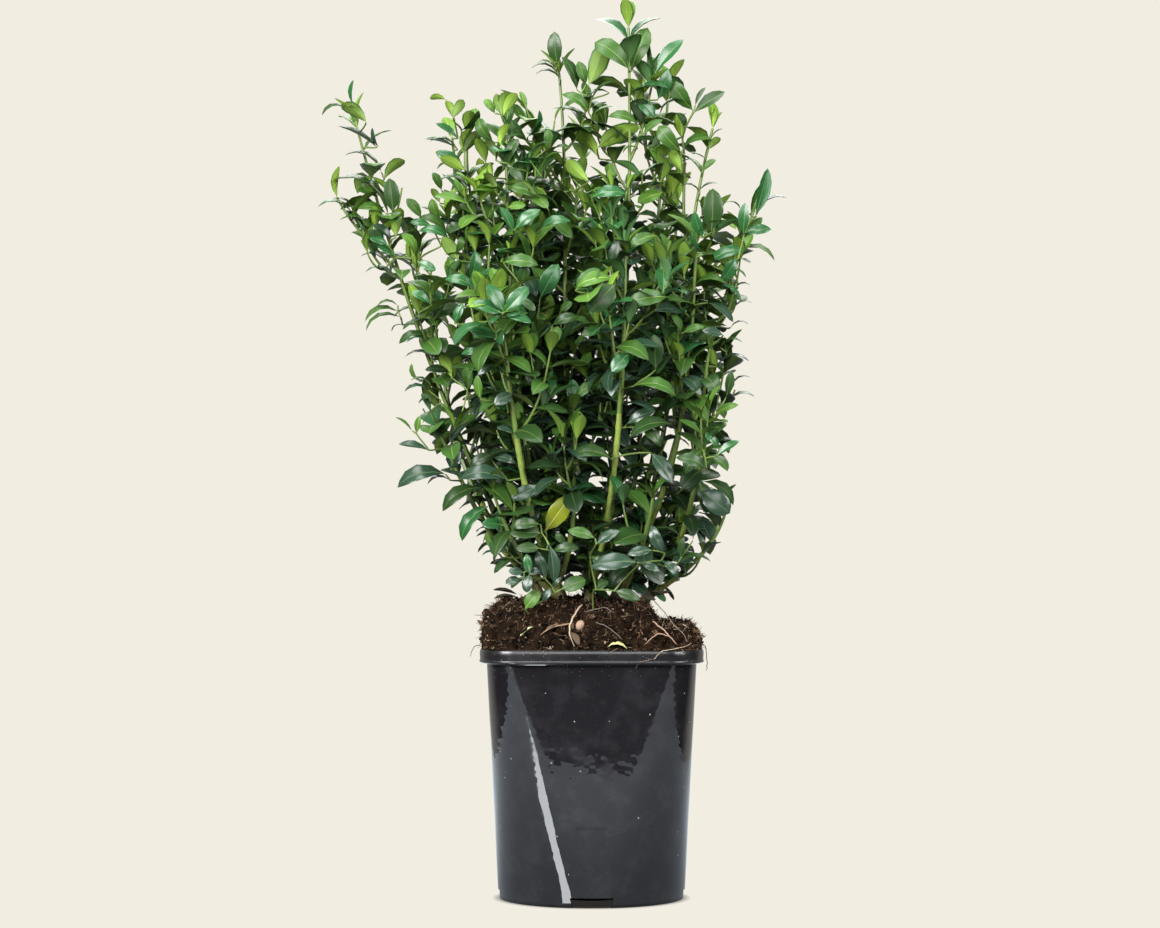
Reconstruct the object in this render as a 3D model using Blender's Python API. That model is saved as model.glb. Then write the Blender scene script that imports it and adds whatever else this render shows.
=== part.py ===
"""A young boxwood shrub in a square-to-round nursery pot, in metres.

The origin is the middle of the pot's underside, +Z is up and -Y is the shrub's front.
The pot, its soil, each stem, each bough and each mass of leaves is one named object.
"""

import math
import random
from collections import namedtuple

import bmesh
import bpy
import numpy as np
from mathutils import Matrix, Vector, noise
from mathutils.geometry import interpolate_bezier

MM = 0.001
GAP = 0.3 * MM  # kept wherever two pieces of the real plant would touch
JOINT_GAP = 0.45 * MM  # between the tip of a limb and the axis of its mass

# The pot: square with round corners at the top, a circle at the foot.
POT_HEIGHT = 172 * MM
RIM_WIDTH = 150 * MM
RIM_BAND = 9.6 * MM
RIM_TOP_WIDTH = 6 * MM
WALL_TOP_WIDTH = 140 * MM
FOOT_DIAMETER = 126.5 * MM
TOP_CORNER_RADIUS = 22 * MM
WALL = 1.6 * MM
FOOT_ROUND = 3 * MM
FOOT_RING_WIDTH = 4 * MM
FLOOR_UNDERSIDE = 8 * MM
PAD_RADIUS = 20 * MM
NOTCH_WIDTH = 26 * MM
NOTCH_HEIGHT = 6.8 * MM
CORNER_STEPS = 5

# The soil: it fills the pot and stands above the rim as a crumbly root ball.
MOUND_HEIGHT = 31 * MM
MOUND_HALF_WIDTH = 73.5 * MM
CRUMB_SIZE = 16 * MM
CRUMB_HEIGHT = 2.2 * MM
SLUMP_START = 36 * MM  # to the right of here the mound has washed down
SLUMP_RUN = 13 * MM
SLUMP_LEVEL = 16 * MM

# The limbs. A foot stands in a shallow socket in the soil.
FOOT_DEPTH = 5 * MM
FLARE_HEIGHT = 9 * MM
FLARE_RADIUS = 4.1 * MM
STEM_RADII = (3.0 * MM, 2.4 * MM)
BOUGH_RADII = (2.1 * MM, 1.8 * MM)
LIMB_POINTS = 6
AXIS_POINTS = 6

# The masses of leaves.
AXIS_RADII = (1.8 * MM, 1.3 * MM)
TWIG_RADII = (1.5 * MM, 1.2 * MM)
FIRST_TWIG_SHARE = 0.10
LAST_TWIG_SHARE = 0.80
TWIG_SPACING = 34 * MM
TWIG_LENGTHS = (74 * MM, 34 * MM)
TWIG_SPREAD = math.radians(48)
SHORTEST_TWIG = 20 * MM
GOLDEN_ANGLE = math.radians(137.5)
LEAF_LENGTH = 35 * MM
LEAF_WIDTH = 18 * MM
LEAF_THICKNESS = 2.4 * MM
LEAF_WIDEST = 0.45
LEAF_ROOT = 0.45 * MM
LEAF_CLEARANCE = 2.2 * MM
LEAF_SPACING = 30 * MM
LEAF_SPREAD = math.radians(52)
TIP_SPREAD = math.radians(20)
FEWEST_LEAVES = 3
LEAF_TRIES = (  # turn, spread and size, each against the leaf's first place
    (0.0, 0.0, 1.0),
    (0.4, 0.1, 1.0),
    (-0.4, 0.1, 1.0),
    (0.0, -0.3, 0.9),
    (0.7, 0.0, 0.8),
    (-0.7, 0.0, 0.8),
    (0.0, 0.2, 0.65),
)
SPACE_MARGIN = 1.0 * MM
LIMB_CLEARANCE = 1.2 * MM
LONG_BARE = 90 * MM  # a limb with a longer bare part keeps the space round it clear
TIP_MARGIN = 7 * MM  # how far the large leaves of this model may stand past the reach

# How far the leaves reach to each side at these heights, in millimetres.
REACH_HEIGHTS = (195, 216, 243, 270, 284, 325, 352, 379, 406, 434, 474, 501, 529, 556, 583, 618)
REACH = {
    "left": (-72, -70, -90, -104, -131, -134, -127, -139, -152, -160, -188, -182, -184, -172,
             -44, -10),
    "right": (84, 90, 90, 98, 102, 104, 110, 108, 109, 124, 133, 122, 96, 82, 64, 44),
    "front": (-76, -88, -104, -112, -116, -124, -128, -130, -132, -130, -122, -108, -90, -60,
              -40, -30),
    "back": (76, 84, 98, 108, 112, 120, 126, 132, 138, 142, 144, 144, 140, 110, 60, 40),
}

# Every limb is one smooth curve to the tip of its own mass of leaves. Places are in
# millimetres, (x, y, z) or (x, y) on the soil, a lean is the run over the rise, and
# bare is the length of the curve that bears no leaves.
Stem = namedtuple("Stem", "name foot lean tip tip_lean bare")
Bough = namedtuple("Bough", "name stem height lean tip tip_lean bare")

STEMS = (
    Stem("left", (-30, -3), (-0.62, 0.00), (-160, -8, 527), (-0.26, 0.0), 76),
    Stem("front_left", (-20, -25), (-0.30, -0.12), (-57, -28, 519), (0.0, 0.05), 66),
    Stem("centre", (-3, -14), (0.22, -0.05), (25, -12, 590), (-0.02, 0.02), 72),
    Stem("right", (17, -2), (0.42, -0.06), (82, -10, 522), (0.26, 0.0), 72),
    Stem("far_right", (34, 8), (0.62, 0.02), (111, 4, 468), (0.45, 0.0), 72),
    Stem("back_left", (-17, 24), (-0.42, 0.16), (-96, 34, 519), (-0.12, 0.0), 70),
    Stem("back_right", (15, 28), (0.22, 0.22), (54, 42, 556), (0.10, 0.0), 70),
    Stem("back", (-2, 38), (-0.05, 0.50), (-6, 100, 522), (0.0, 0.10), 70),
)

BOUGHS = (
    Bough("low_left", "left", 218, (-1.20, -0.35), (-108, -36, 330), (-0.45, -0.1), 46),
    Bough("outer_left", "left", 238, (-1.05, 0.45), (-120, 58, 428), (-0.35, 0.2), 50),
    Bough("inner_left", "front_left", 234, (-0.05, 0.70), (-32, 30, 508), (0.0, 0.0), 50),
    Bough("front_lobe", "front_left", 222, (-0.45, -0.85), (-60, -90, 404), (-0.1, -0.1), 104),
    Bough("low_front", "front_left", 213, (0.60, -1.00), (-12, -66, 330), (0.0, -0.3), 42),
    Bough("inner_centre", "centre", 238, (-0.35, 0.15), (-22, -6, 560), (-0.1, 0.0), 50),
    Bough("front_right", "centre", 210, (0.30, -0.95), (22, -88, 438), (0.0, 0.0), 136),
    Bough("right_lobe", "right", 240, (0.60, -0.60), (70, -60, 452), (0.05, -0.1), 50),
    Bough("low_right", "far_right", 222, (0.80, -0.90), (78, -62, 372), (0.15, -0.2), 46),
    Bough("outer_right", "far_right", 236, (0.60, 0.80), (84, 62, 420), (0.20, 0.2), 50),
    Bough("rear_left", "back_left", 234, (-0.45, 0.80), (-72, 102, 466), (-0.1, 0.2), 48),
    Bough("rear_right", "back_right", 234, (0.50, 0.80), (62, 104, 482), (0.1, 0.2), 48),
    Bough("foot_left", "front_left", 205, (-1.40, -1.00), (-66, -60, 278), (-0.3, -0.3), 32),
    Bough("foot_front", "right", 206, (0.35, -1.40), (40, -78, 272), (0.1, -0.5), 32),
    Bough("foot_right", "far_right", 203, (1.40, -0.60), (90, -28, 262), (0.3, -0.1), 28),
    Bough("foot_back_left", "back_left", 212, (-1.10, 0.90), (-74, 72, 306), (-0.3, 0.3), 34),
    Bough("foot_back_right", "back_right", 212, (1.00, 0.95), (60, 78, 316), (0.3, 0.3), 34),
)


def clear_scene():
    for obj in list(bpy.data.objects):
        bpy.data.objects.remove(obj)


def new_collection(name):
    collection = bpy.data.collections.new(name)
    bpy.context.scene.collection.children.link(collection)
    return collection


def make_material(name, colour, roughness):
    made = bpy.data.materials.new(name)
    made.use_nodes = True
    shader = made.node_tree.nodes["Principled BSDF"]
    shader.inputs["Base Color"].default_value = (*colour, 1.0)
    shader.inputs["Roughness"].default_value = roughness
    shader.inputs["Metallic"].default_value = 0.0
    return made


def mesh_from(bm, name):
    """A mesh from a bmesh, with its normals outwards and nothing doubled."""
    bmesh.ops.remove_doubles(bm, verts=bm.verts, dist=0.001 * MM)
    bmesh.ops.recalc_face_normals(bm, faces=bm.faces)
    mesh = bpy.data.meshes.new(name)
    bm.to_mesh(mesh)
    bm.free()
    return mesh


def add_object(name, data, collection):
    obj = bpy.data.objects.new(name, data)
    collection.objects.link(obj)
    return obj


def smooth(obj, sharp_angle):
    obj.data.shade_smooth()
    obj.data.set_sharp_from_angle(angle=sharp_angle)


def apply_modifiers(obj):
    """Swaps the object's mesh for the one that its modifiers make."""
    graph = bpy.context.evaluated_depsgraph_get()
    made = bpy.data.meshes.new_from_object(obj.evaluated_get(graph))
    obj.modifiers.clear()
    obj.data = made


def cut(obj, cutters):
    """Takes each cutter out of obj."""
    for cutter in cutters:
        modifier = obj.modifiers.new("cut", "BOOLEAN")
        modifier.operation = "DIFFERENCE"
        modifier.object = cutter
        modifier.solver = "EXACT"
    apply_modifiers(obj)


# The pot and the soil are lofts between rounded squares and circles.


def rounded_square(flat, radius):
    """Points round a square of flat sides, each 2 * flat long, and corners of that radius."""
    points = []
    for quarter in range(4):
        turn = Matrix.Rotation(quarter * math.pi / 2, 2)
        for step in range(CORNER_STEPS + 1):
            angle = step / CORNER_STEPS * math.pi / 2
            corner = (flat + radius * math.cos(angle), flat + radius * math.sin(angle))
            points.append(turn @ Vector(corner))
    return points


def wall_section(height, inset=0.0):
    """The outline of the pot's wall at a height: a circle at the foot, squarer above."""
    share = max(0.0, height / (POT_HEIGHT - RIM_BAND))
    top_flat = WALL_TOP_WIDTH / 2 - TOP_CORNER_RADIUS
    radius = FOOT_DIAMETER / 2 + (TOP_CORNER_RADIUS - FOOT_DIAMETER / 2) * share
    return rounded_square(top_flat * share, radius - inset)


def square_section(half_width):
    top_flat = WALL_TOP_WIDTH / 2 - TOP_CORNER_RADIUS
    return rounded_square(top_flat, half_width - top_flat)


def ring(outline, height):
    return [(x, y, height) for x, y in outline]


def loft(name, rings, collection):
    """A closed body through rings of as many points each, its first and last filled."""
    bm = bmesh.new()
    loops = [[bm.verts.new(point) for point in points] for points in rings]
    for below, above in zip(loops, loops[1:]):
        for i in range(len(below)):
            j = (i + 1) % len(below)
            bm.faces.new((below[i], below[j], above[j], above[i]))
    bm.faces.new(loops[0])
    bm.faces.new(loops[-1])
    return add_object(name, mesh_from(bm, name), collection)


def build_pot(collection, cutters):
    foot = FOOT_DIAMETER / 2
    rim = RIM_WIDTH / 2
    wall_top = POT_HEIGHT - RIM_BAND
    foot_inner = rounded_square(0, foot - FOOT_RING_WIDTH)
    rings = [
        ring(rounded_square(0, PAD_RADIUS), 0.0),
        ring(rounded_square(0, PAD_RADIUS + 1 * MM), FLOOR_UNDERSIDE),
        ring(foot_inner, FLOOR_UNDERSIDE),
        ring(foot_inner, 0.0),
        ring(rounded_square(0, foot - 0.5 * FOOT_ROUND), 0.0),
        ring(rounded_square(0, foot - 0.15 * FOOT_ROUND), 0.4 * FOOT_ROUND),
        ring(wall_section(FOOT_ROUND), FOOT_ROUND),
        ring(wall_section(wall_top), wall_top),
        ring(square_section(rim - 0.8 * MM), wall_top),
        ring(square_section(rim), POT_HEIGHT - 1 * MM),
        ring(square_section(rim - 0.8 * MM), POT_HEIGHT),
        ring(square_section(rim - RIM_TOP_WIDTH), POT_HEIGHT),
        ring(wall_section(wall_top, WALL), wall_top),
        ring(wall_section(FLOOR_UNDERSIDE + WALL, WALL), FLOOR_UNDERSIDE + WALL),
    ]
    pot = loft("pot", rings, collection)
    for quarter in range(4):
        bm = bmesh.new()
        bmesh.ops.create_cube(bm, size=1)
        depth = 3 * FOOT_RING_WIDTH
        bmesh.ops.scale(bm, verts=bm.verts, vec=(NOTCH_WIDTH, depth, 2 * NOTCH_HEIGHT))
        bmesh.ops.translate(bm, verts=bm.verts, vec=(0, -foot, 0))
        turn = Matrix.Rotation(quarter * math.pi / 2, 3, "Z")
        bmesh.ops.rotate(bm, verts=bm.verts, matrix=turn)
        add_object("pot_notch", mesh_from(bm, "pot_notch"), cutters)
    cut(pot, [o for o in cutters.objects if o.name.startswith("pot_notch")])
    smooth(pot, math.radians(30))
    return pot


def mound_height(x, y):
    """The height of the soil's surface above the rim: steep on the left, with crumbs."""
    side = min(max(x / MOUND_HALF_WIDTH, -1.0), 1.0)
    edge = (abs(side) ** 5 + abs(y / MOUND_HALF_WIDTH) ** 5) ** 0.2
    bank = max(0.0, 1 - edge**7) ** (0.42 + 0.18 * side)
    dome = 1 - 0.16 * edge**2 * (1 + side)
    crumbs = noise.noise(Vector((x, y, 0.7)) / CRUMB_SIZE) * CRUMB_HEIGHT
    return MOUND_HEIGHT * bank * dome + crumbs * bank


def soil_level(x, y):
    """The mound with its right side washed down, well clear of the stems' feet."""
    slump = min(max((x - SLUMP_START) / SLUMP_RUN, 0.0), 1.0)
    height = mound_height(x, y)
    lowered = min(height, SLUMP_LEVEL)
    return POT_HEIGHT + GAP + height + (lowered - height) * slump * slump * (3 - 2 * slump)


def build_soil(collection):
    floor = FLOOR_UNDERSIDE + WALL + GAP
    wall_top = POT_HEIGHT - RIM_BAND
    mouth = RIM_WIDTH / 2 - RIM_TOP_WIDTH - 2 * GAP
    on_rim = POT_HEIGHT + GAP
    overhang = square_section(MOUND_HALF_WIDTH)
    rings = [
        ring(wall_section(floor, WALL + GAP), floor),
        ring(wall_section(wall_top, WALL + GAP), wall_top),
        ring(square_section(mouth), on_rim),
        ring(overhang, on_rim),
        ring(overhang, on_rim + 1.5 * MM),
    ]
    for share in (0.975, 0.94, 0.87, 0.72, 0.50, 0.25):
        spots = [p * share for p in overhang]
        rings.append([(x, y, max(soil_level(x, y), on_rim + 2 * MM)) for x, y in spots])
    soil = loft("soil", rings, collection)
    smooth(soil, math.radians(60))
    return soil


# Limbs and twigs are curves with a bevel, made into meshes.


def along(path, share):
    """The point at a share of the path's length, and the direction there."""
    steps = np.linalg.norm(np.diff(path, axis=0), axis=1)
    reached = np.concatenate([[0.0], np.cumsum(steps)])
    want = min(max(share, 0.0), 1.0) * reached[-1]
    point = np.array([np.interp(want, reached, path[:, k]) for k in range(3)])
    i = min(int(np.searchsorted(reached, want, side="right")) - 1, len(steps) - 1)
    return point, (path[i + 1] - path[i]) / steps[i]


def length_of(path):
    return float(np.linalg.norm(np.diff(path, axis=0), axis=1).sum())


def resample(path, first, last, count):
    """A stretch of the path between two shares of its length, as evenly spaced points."""
    return np.array([along(path, s)[0] for s in np.linspace(first, last, count)])


def smooth_path(start, lean, tip, tip_lean):
    """A limb's whole curve. A lean is its run over its rise at that end."""
    start, tip = Vector(start), Vector(tip)
    handle = (tip - start).length / 3
    first = start + Vector((*lean, 1)).normalized() * handle
    second = tip - Vector((*tip_lean, 1)).normalized() * handle
    return np.array(interpolate_bezier(start, first, second, tip, 40))


def three_sides():
    """The outline that gives a curve three sides."""
    outline = bpy.data.curves.new("three_sides", "CURVE")
    spline = outline.splines.new("POLY")
    spline.points.add(2)
    for i, point in enumerate(spline.points):
        angle = i * math.tau / 3
        point.co = (math.cos(angle), math.sin(angle), 0, 1)
    spline.use_cyclic_u = True
    obj = bpy.data.objects.new("three_sides", outline)
    obj.hide_render = True
    return obj


def tube(name, path, radii, sides, collection, triangle=None):
    """A curve through path with a radius for each of its points."""
    curve = bpy.data.curves.new(name, "CURVE")
    curve.dimensions = "3D"
    curve.use_fill_caps = True
    if sides == 3:
        curve.bevel_mode = "OBJECT"
        curve.bevel_object = triangle
    else:
        curve.bevel_depth = 1.0
        curve.bevel_resolution = (sides - 4) // 2
    spline = curve.splines.new("POLY")
    spline.points.add(len(path) - 1)
    for point, place, radius in zip(spline.points, path, radii):
        point.co = (*place, 1)
        point.radius = radius
    return add_object(name, curve, collection)


def taper(path, radii):
    return np.linspace(*radii, len(path))


def to_meshes(curves):
    """Swaps curve objects for mesh objects of the same names in the same collections."""
    graph = bpy.context.evaluated_depsgraph_get()
    made = []
    for obj in curves:
        name, home = obj.name, obj.users_collection[0]
        bm = bmesh.new()
        bm.from_mesh(bpy.data.meshes.new_from_object(obj.evaluated_get(graph)))
        bpy.data.objects.remove(obj)
        made.append(add_object(name, mesh_from(bm, name), home))
    return made


def stem_paths():
    """Each stem's whole curve, from the foot in its socket to the tip of its mass."""
    paths = {}
    for stem in STEMS:
        x, y = (v * MM for v in stem.foot)
        start = (x, y, soil_level(x, y) - FOOT_DEPTH)
        tip = [v * MM for v in stem.tip]
        paths[stem.name] = smooth_path(start, stem.lean, tip, stem.tip_lean)
    return paths


def bough_paths(stems):
    """Each bough's whole curve, from the middle of its stem to the tip of its mass."""
    paths = {}
    for bough in BOUGHS:
        stem = stems[bough.stem]
        height = bough.height * MM
        start = [np.interp(height, stem[:, 2], stem[:, k]) for k in range(3)]
        tip = [v * MM for v in bough.tip]
        paths[bough.name] = smooth_path(start, bough.lean, tip, bough.tip_lean)
    return paths


def bare_limb(path, bare, flared):
    """The points of a limb from its foot to where its mass of leaves begins."""
    lengths = list(np.linspace(0, bare * MM, LIMB_POINTS))
    if flared:
        lengths.insert(1, FLARE_HEIGHT)
    return np.array([along(path, length / length_of(path))[0] for length in lengths])


def mass_axis(path, bare):
    shares = np.linspace((bare * MM + JOINT_GAP) / length_of(path), 1, AXIS_POINTS)
    return np.array([along(path, share)[0] for share in shares])


def build_stem(name, limb, collection, grow=0.0):
    """A stem with its root flare, or the shape GAP larger that it stands in."""
    radii = taper(limb, STEM_RADII)
    radii[0] = FLARE_RADIUS
    if grow:
        sunk = limb[0] + (limb[0] - limb[1]) / np.linalg.norm(limb[0] - limb[1]) * grow
        limb = np.vstack([sunk, limb[1:]])
    return tube(name, limb, radii + 1.1 * grow, 8, collection)


# Leaves.


def leaf_mesh():
    """A leaf along +X from its root: four faces, with the rib raised above the margins."""
    bm = bmesh.new()
    middle = LEAF_WIDEST * LEAF_LENGTH
    bm.verts.new((-LEAF_ROOT, 0, 0))
    bm.verts.new((LEAF_LENGTH, 0, 0))
    bm.verts.new((middle, LEAF_WIDTH / 2, -LEAF_THICKNESS))
    bm.verts.new((middle, -LEAF_WIDTH / 2, -LEAF_THICKNESS))
    bmesh.ops.convex_hull(bm, input=bm.verts)
    return mesh_from(bm, "leaf")


def leaf_place(point, direction, side, spread, size):
    """The matrix that sets a leaf on a twig, its upper face towards the twig's tip."""
    outward = Vector(side) - Vector(side).project(Vector(direction))
    length_axis = (
        Vector(direction) * math.cos(spread) + outward.normalized() * math.sin(spread)
    ).normalized()
    face = (Vector(direction) - Vector(direction).project(length_axis)).normalized()
    across = face.cross(length_axis)
    turned = Matrix((length_axis, across, face)).transposed().to_4x4()
    return Matrix.Translation(Vector(point)) @ turned @ Matrix.Scale(size, 4)


def leaf_samples():
    """Points over a leaf that stand for it when its room is tested."""
    points = []
    for share in (0.2, 0.45, 0.6, 0.8, 1.0):
        half = LEAF_WIDTH / 2 * (1 - abs(share - LEAF_WIDEST) / (1 - LEAF_WIDEST))
        for y in (-half, 0, half):
            points.append((share * LEAF_LENGTH, y, 0))
    return np.array(points)


# Where each mass may grow.


def distances(points, path):
    """How far each point is from a path."""
    start = path[:-1][None]
    step = np.diff(path, axis=0)[None]
    offset = points[:, None] - start
    share = np.clip((offset * step).sum(2) / (step * step).sum(2), 0, 1)
    return np.linalg.norm(offset - share[..., None] * step, axis=2).min(axis=1)


def within_reach(points):
    """Whether all points are within the shrub's width and depth at their height."""
    x, y, z = points.T / MM
    left, right, front, back = (np.interp(z, REACH_HEIGHTS, side) for side in REACH.values())
    margin = TIP_MARGIN / MM
    across = (left - margin < x) & (x < right + margin)
    along_y = (front - margin < y) & (y < back + margin)
    return bool((across & along_y).all() and z.max() < REACH_HEIGHTS[-1])


class Room:
    """The space that each mass keeps to: nearer to its own axis than to any other's."""

    def __init__(self, axes, limbs):
        self.axes = axes
        self.limbs = limbs
        self.bare = [limb for limb, _ in limbs if length_of(limb) > LONG_BARE]
        self.taken = np.empty((0, 3))

    def clear_of_leaves(self, points):
        """Whether points keep clear of every leaf there is."""
        apart = np.linalg.norm(points[:, None] - self.taken[None], axis=2)
        return not len(self.taken) or apart.min() > LEAF_CLEARANCE

    def holds(self, points, own):
        points = np.asarray(points)
        mine = distances(points, self.axes[own]) + SPACE_MARGIN
        for name, axis in self.axes.items():
            if name != own and (distances(points, axis) < mine).any():
                return False
        if any((distances(points, limb) < mine).any() for limb in self.bare):
            return False
        for limb, radius in self.limbs:
            if (distances(points, limb) < radius + LIMB_CLEARANCE).any():
                return False
        return within_reach(points) and all(
            p[2] > soil_level(p[0], p[1]) + LIMB_CLEARANCE for p in points)


def side_of(direction, angle):
    """A direction square to a twig, turned round it by an angle."""
    direction = Vector(direction)
    reference = direction.orthogonal() if abs(direction.z) > 0.999 else Vector((0, 0, 1))
    first = direction.cross(reference).normalized()
    return Matrix.Rotation(angle, 3, direction) @ first


def side_twig(axis, share, angle, length, room, own):
    """A twig that leaves the axis and curves up, as far as its room lets it grow."""
    root, direction = along(axis, share)
    outward = side_of(direction, angle)
    heading = Vector(direction) * math.cos(TWIG_SPREAD) + outward * math.sin(TWIG_SPREAD)
    path = [Vector(root)]
    steps = 3
    for step in range(steps):
        path.append(path[-1] + heading.normalized() * length / steps)
        heading = heading.normalized() + Vector((0, 0, 0.22))
    points = np.array(path)
    clear = next((i for i in range(2, steps + 1) if not room.holds(points[i:i + 1], own)), steps + 1)
    points = points[:clear]
    return points if length_of(points) >= SHORTEST_TWIG else None


def grow_twigs(axis, rng, room, own):
    """Side twigs by a seeded rule, a golden angle apart and shorter towards the tip.

    Each comes with the places of its leaves. A twig without room for a few is left out."""
    grown = []
    length = length_of(axis)
    count = max(2, round((LAST_TWIG_SHARE - FIRST_TWIG_SHARE) * length / TWIG_SPACING))
    turn = rng.uniform(0, math.tau)
    for share in np.linspace(FIRST_TWIG_SHARE, LAST_TWIG_SHARE, count):
        turn += GOLDEN_ANGLE
        longest = np.interp(share, (0, 1), TWIG_LENGTHS)
        size = min(longest, 0.6 * length) * rng.uniform(0.8, 1.1)
        for nudge in (0.0, 0.8, -0.8, 1.6, -1.6):
            twig = side_twig(axis, share, turn + nudge, size, room, own)
            if twig is None:
                continue
            others = room.taken
            places = grow_leaves(twig, 0.45 * LEAF_SPACING, rng, room, own)
            if len(places) >= FEWEST_LEAVES:
                grown.append((twig, places))
                break
            room.taken = others
    return grown


def place_leaf(point, direction, turn, spread, size, room, own):
    """The first of a few nearby places that has room for the leaf, if there is one."""
    for nudge, open_out, share in LEAF_TRIES:
        side = side_of(direction, turn + nudge)
        place = leaf_place(point, direction, side, spread + open_out, size * share)
        samples = np.array([place @ Vector(p) for p in leaf_samples()])
        if room.holds(samples, own) and room.clear_of_leaves(samples):
            room.taken = np.vstack([room.taken, samples[3:]])
            return place
    return None


def grow_leaves(twig, first, rng, room, own):
    """Opposite pairs of leaves, each pair square to the last, and a small pair at the tip."""
    places = []
    length = length_of(twig)
    count = max(1, round((length - first) / LEAF_SPACING))
    turn = rng.uniform(0, math.tau)
    for step in range(count + 1):
        at_tip = step == count
        reach = min(first + (length - first) * step / count, length - 0.8 * MM)
        point, direction = along(twig, reach / length)
        turn += math.pi / 2
        spread = (TIP_SPREAD if at_tip else LEAF_SPREAD) + rng.uniform(-0.12, 0.12)
        size = 0.72 if at_tip else rng.uniform(0.86, 1.06)
        for face in (0, math.pi):
            point = point + direction * 0.3 * MM
            angle = turn + face + rng.uniform(-0.15, 0.15)
            place = place_leaf(point, direction, angle, spread, size, room, own)
            if place is not None:
                places.append(place)
    return places


def build_mass(name, axis, seed, room, leaf, triangle, collection, shapes):
    """One mass: its axis, twigs and leaves, joined into a single body."""
    rng = random.Random(seed)
    places = grow_leaves(axis, 0.3 * LEAF_SPACING, rng, room, name)
    twigs = grow_twigs(axis, rng, room, name)
    curves = [tube(name, axis, taper(axis, AXIS_RADII), 3, collection, triangle)]
    for twig, leaves in twigs:
        curves.append(tube("twig", twig, taper(twig, TWIG_RADII), 3, shapes, triangle))
        places += leaves
    mass = to_meshes(curves)[0]
    for place in places:
        add_object("leaf", leaf, shapes).matrix_world = place
    modifier = mass.modifiers.new("join", "BOOLEAN")
    modifier.operation = "UNION"
    modifier.operand_type = "COLLECTION"
    modifier.collection = shapes
    modifier.solver = "EXACT"
    apply_modifiers(mass)
    for obj in list(shapes.objects):
        bpy.data.objects.remove(obj)
    print(f"{name}: {len(twigs)} twigs, {len(places)} leaves, {len(mass.data.polygons)} faces")
    return mass


def main():
    clear_scene()
    shrub = new_collection("boxwood_shrub")
    cutters = new_collection("cutters")
    shapes = new_collection("shapes")
    pot = build_pot(shrub, cutters)
    soil = build_soil(shrub)

    stems = stem_paths()
    boughs = bough_paths(stems)
    stem_limbs = {t.name: bare_limb(stems[t.name], t.bare, True) for t in STEMS}
    bough_limbs = {b.name: bare_limb(boughs[b.name], b.bare, False) for b in BOUGHS}
    paths = stems | boughs
    axes = {f"foliage_{t.name}": mass_axis(paths[t.name], t.bare) for t in STEMS + BOUGHS}
    limbs = [(limb, STEM_RADII[0]) for limb in stem_limbs.values()]
    limbs += [(limb, BOUGH_RADII[0]) for limb in bough_limbs.values()]
    room = Room(axes, limbs)

    curves, cutting = [], []
    for name, limb in stem_limbs.items():
        curves.append(build_stem(f"stem_{name}", limb, shrub))
        cutting.append(build_stem(f"socket_{name}", limb, cutters, GAP))
    for name, limb in bough_limbs.items():
        radii = taper(limb, BOUGH_RADII)
        curves.append(tube(f"bough_{name}", limb, radii, 6, shrub))
    wood = {obj.name: obj for obj in to_meshes(curves)}
    sockets = {obj.name: obj for obj in to_meshes(cutting)}
    for bough in BOUGHS:
        cut(wood[f"bough_{bough.name}"], [sockets[f"socket_{bough.stem}"]])
    cut(soil, sockets.values())
    for obj in wood.values():
        smooth(obj, math.radians(50))

    triangle = three_sides()
    leaf = leaf_mesh()
    masses = []
    for seed, (name, axis) in enumerate(axes.items()):
        masses.append(build_mass(name, axis, seed, room, leaf, triangle, shrub, shapes))

    for obj in list(cutters.objects):
        bpy.data.objects.remove(obj)
    bpy.data.objects.remove(triangle)

    pot.data.materials.append(make_material("pot_plastic", (0.018, 0.018, 0.020), 0.22))
    soil.data.materials.append(make_material("potting_soil", (0.045, 0.024, 0.015), 0.95))
    bark = make_material("young_bark", (0.22, 0.26, 0.07), 0.6)
    foliage = make_material("boxwood_leaf", (0.07, 0.20, 0.035), 0.4)
    for obj in wood.values():
        obj.data.materials.clear()
        obj.data.materials.append(bark)
    for obj in masses:
        obj.data.materials.clear()
        obj.data.materials.append(foliage)


main()
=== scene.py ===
# %% [markdown]
# # A young boxwood shrub in its nursery pot
# The shrub has eight upright stems and many side shoots with small glossy leaves. It
# stands in a thin black plastic pot, square at the rim and round at the foot, filled
# with crumbly peat. The solid model gives each stem, bough and mass of leaves its
# place. This script grows the real leaves, bark and soil in those places.

# %% Tools, the frame and the solid model's box
import math
import random
from collections import namedtuple

import bmesh
import bpy
import numpy as np
from mathutils import Matrix, Vector, noise
from mathutils.geometry import interpolate_bezier


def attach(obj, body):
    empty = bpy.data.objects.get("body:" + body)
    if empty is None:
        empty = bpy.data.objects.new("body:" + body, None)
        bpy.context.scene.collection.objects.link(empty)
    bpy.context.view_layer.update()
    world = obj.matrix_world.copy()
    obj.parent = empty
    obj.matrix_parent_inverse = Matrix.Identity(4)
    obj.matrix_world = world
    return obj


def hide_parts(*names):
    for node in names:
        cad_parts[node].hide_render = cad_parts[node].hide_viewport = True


MM = 0.001
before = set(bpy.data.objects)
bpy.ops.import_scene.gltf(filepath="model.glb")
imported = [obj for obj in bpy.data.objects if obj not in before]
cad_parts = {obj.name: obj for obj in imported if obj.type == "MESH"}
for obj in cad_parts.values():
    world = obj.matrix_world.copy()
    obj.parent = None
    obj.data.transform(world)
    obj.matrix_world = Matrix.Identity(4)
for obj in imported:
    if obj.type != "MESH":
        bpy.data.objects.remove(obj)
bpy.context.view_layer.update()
NODES = sorted(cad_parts)

# %% [markdown]
# ## Camera
# The camera looks level from the front, a little above the middle of the crown. A long
# lens from 2.5 m keeps the pot's sides nearly upright, as a studio picture does.

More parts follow.
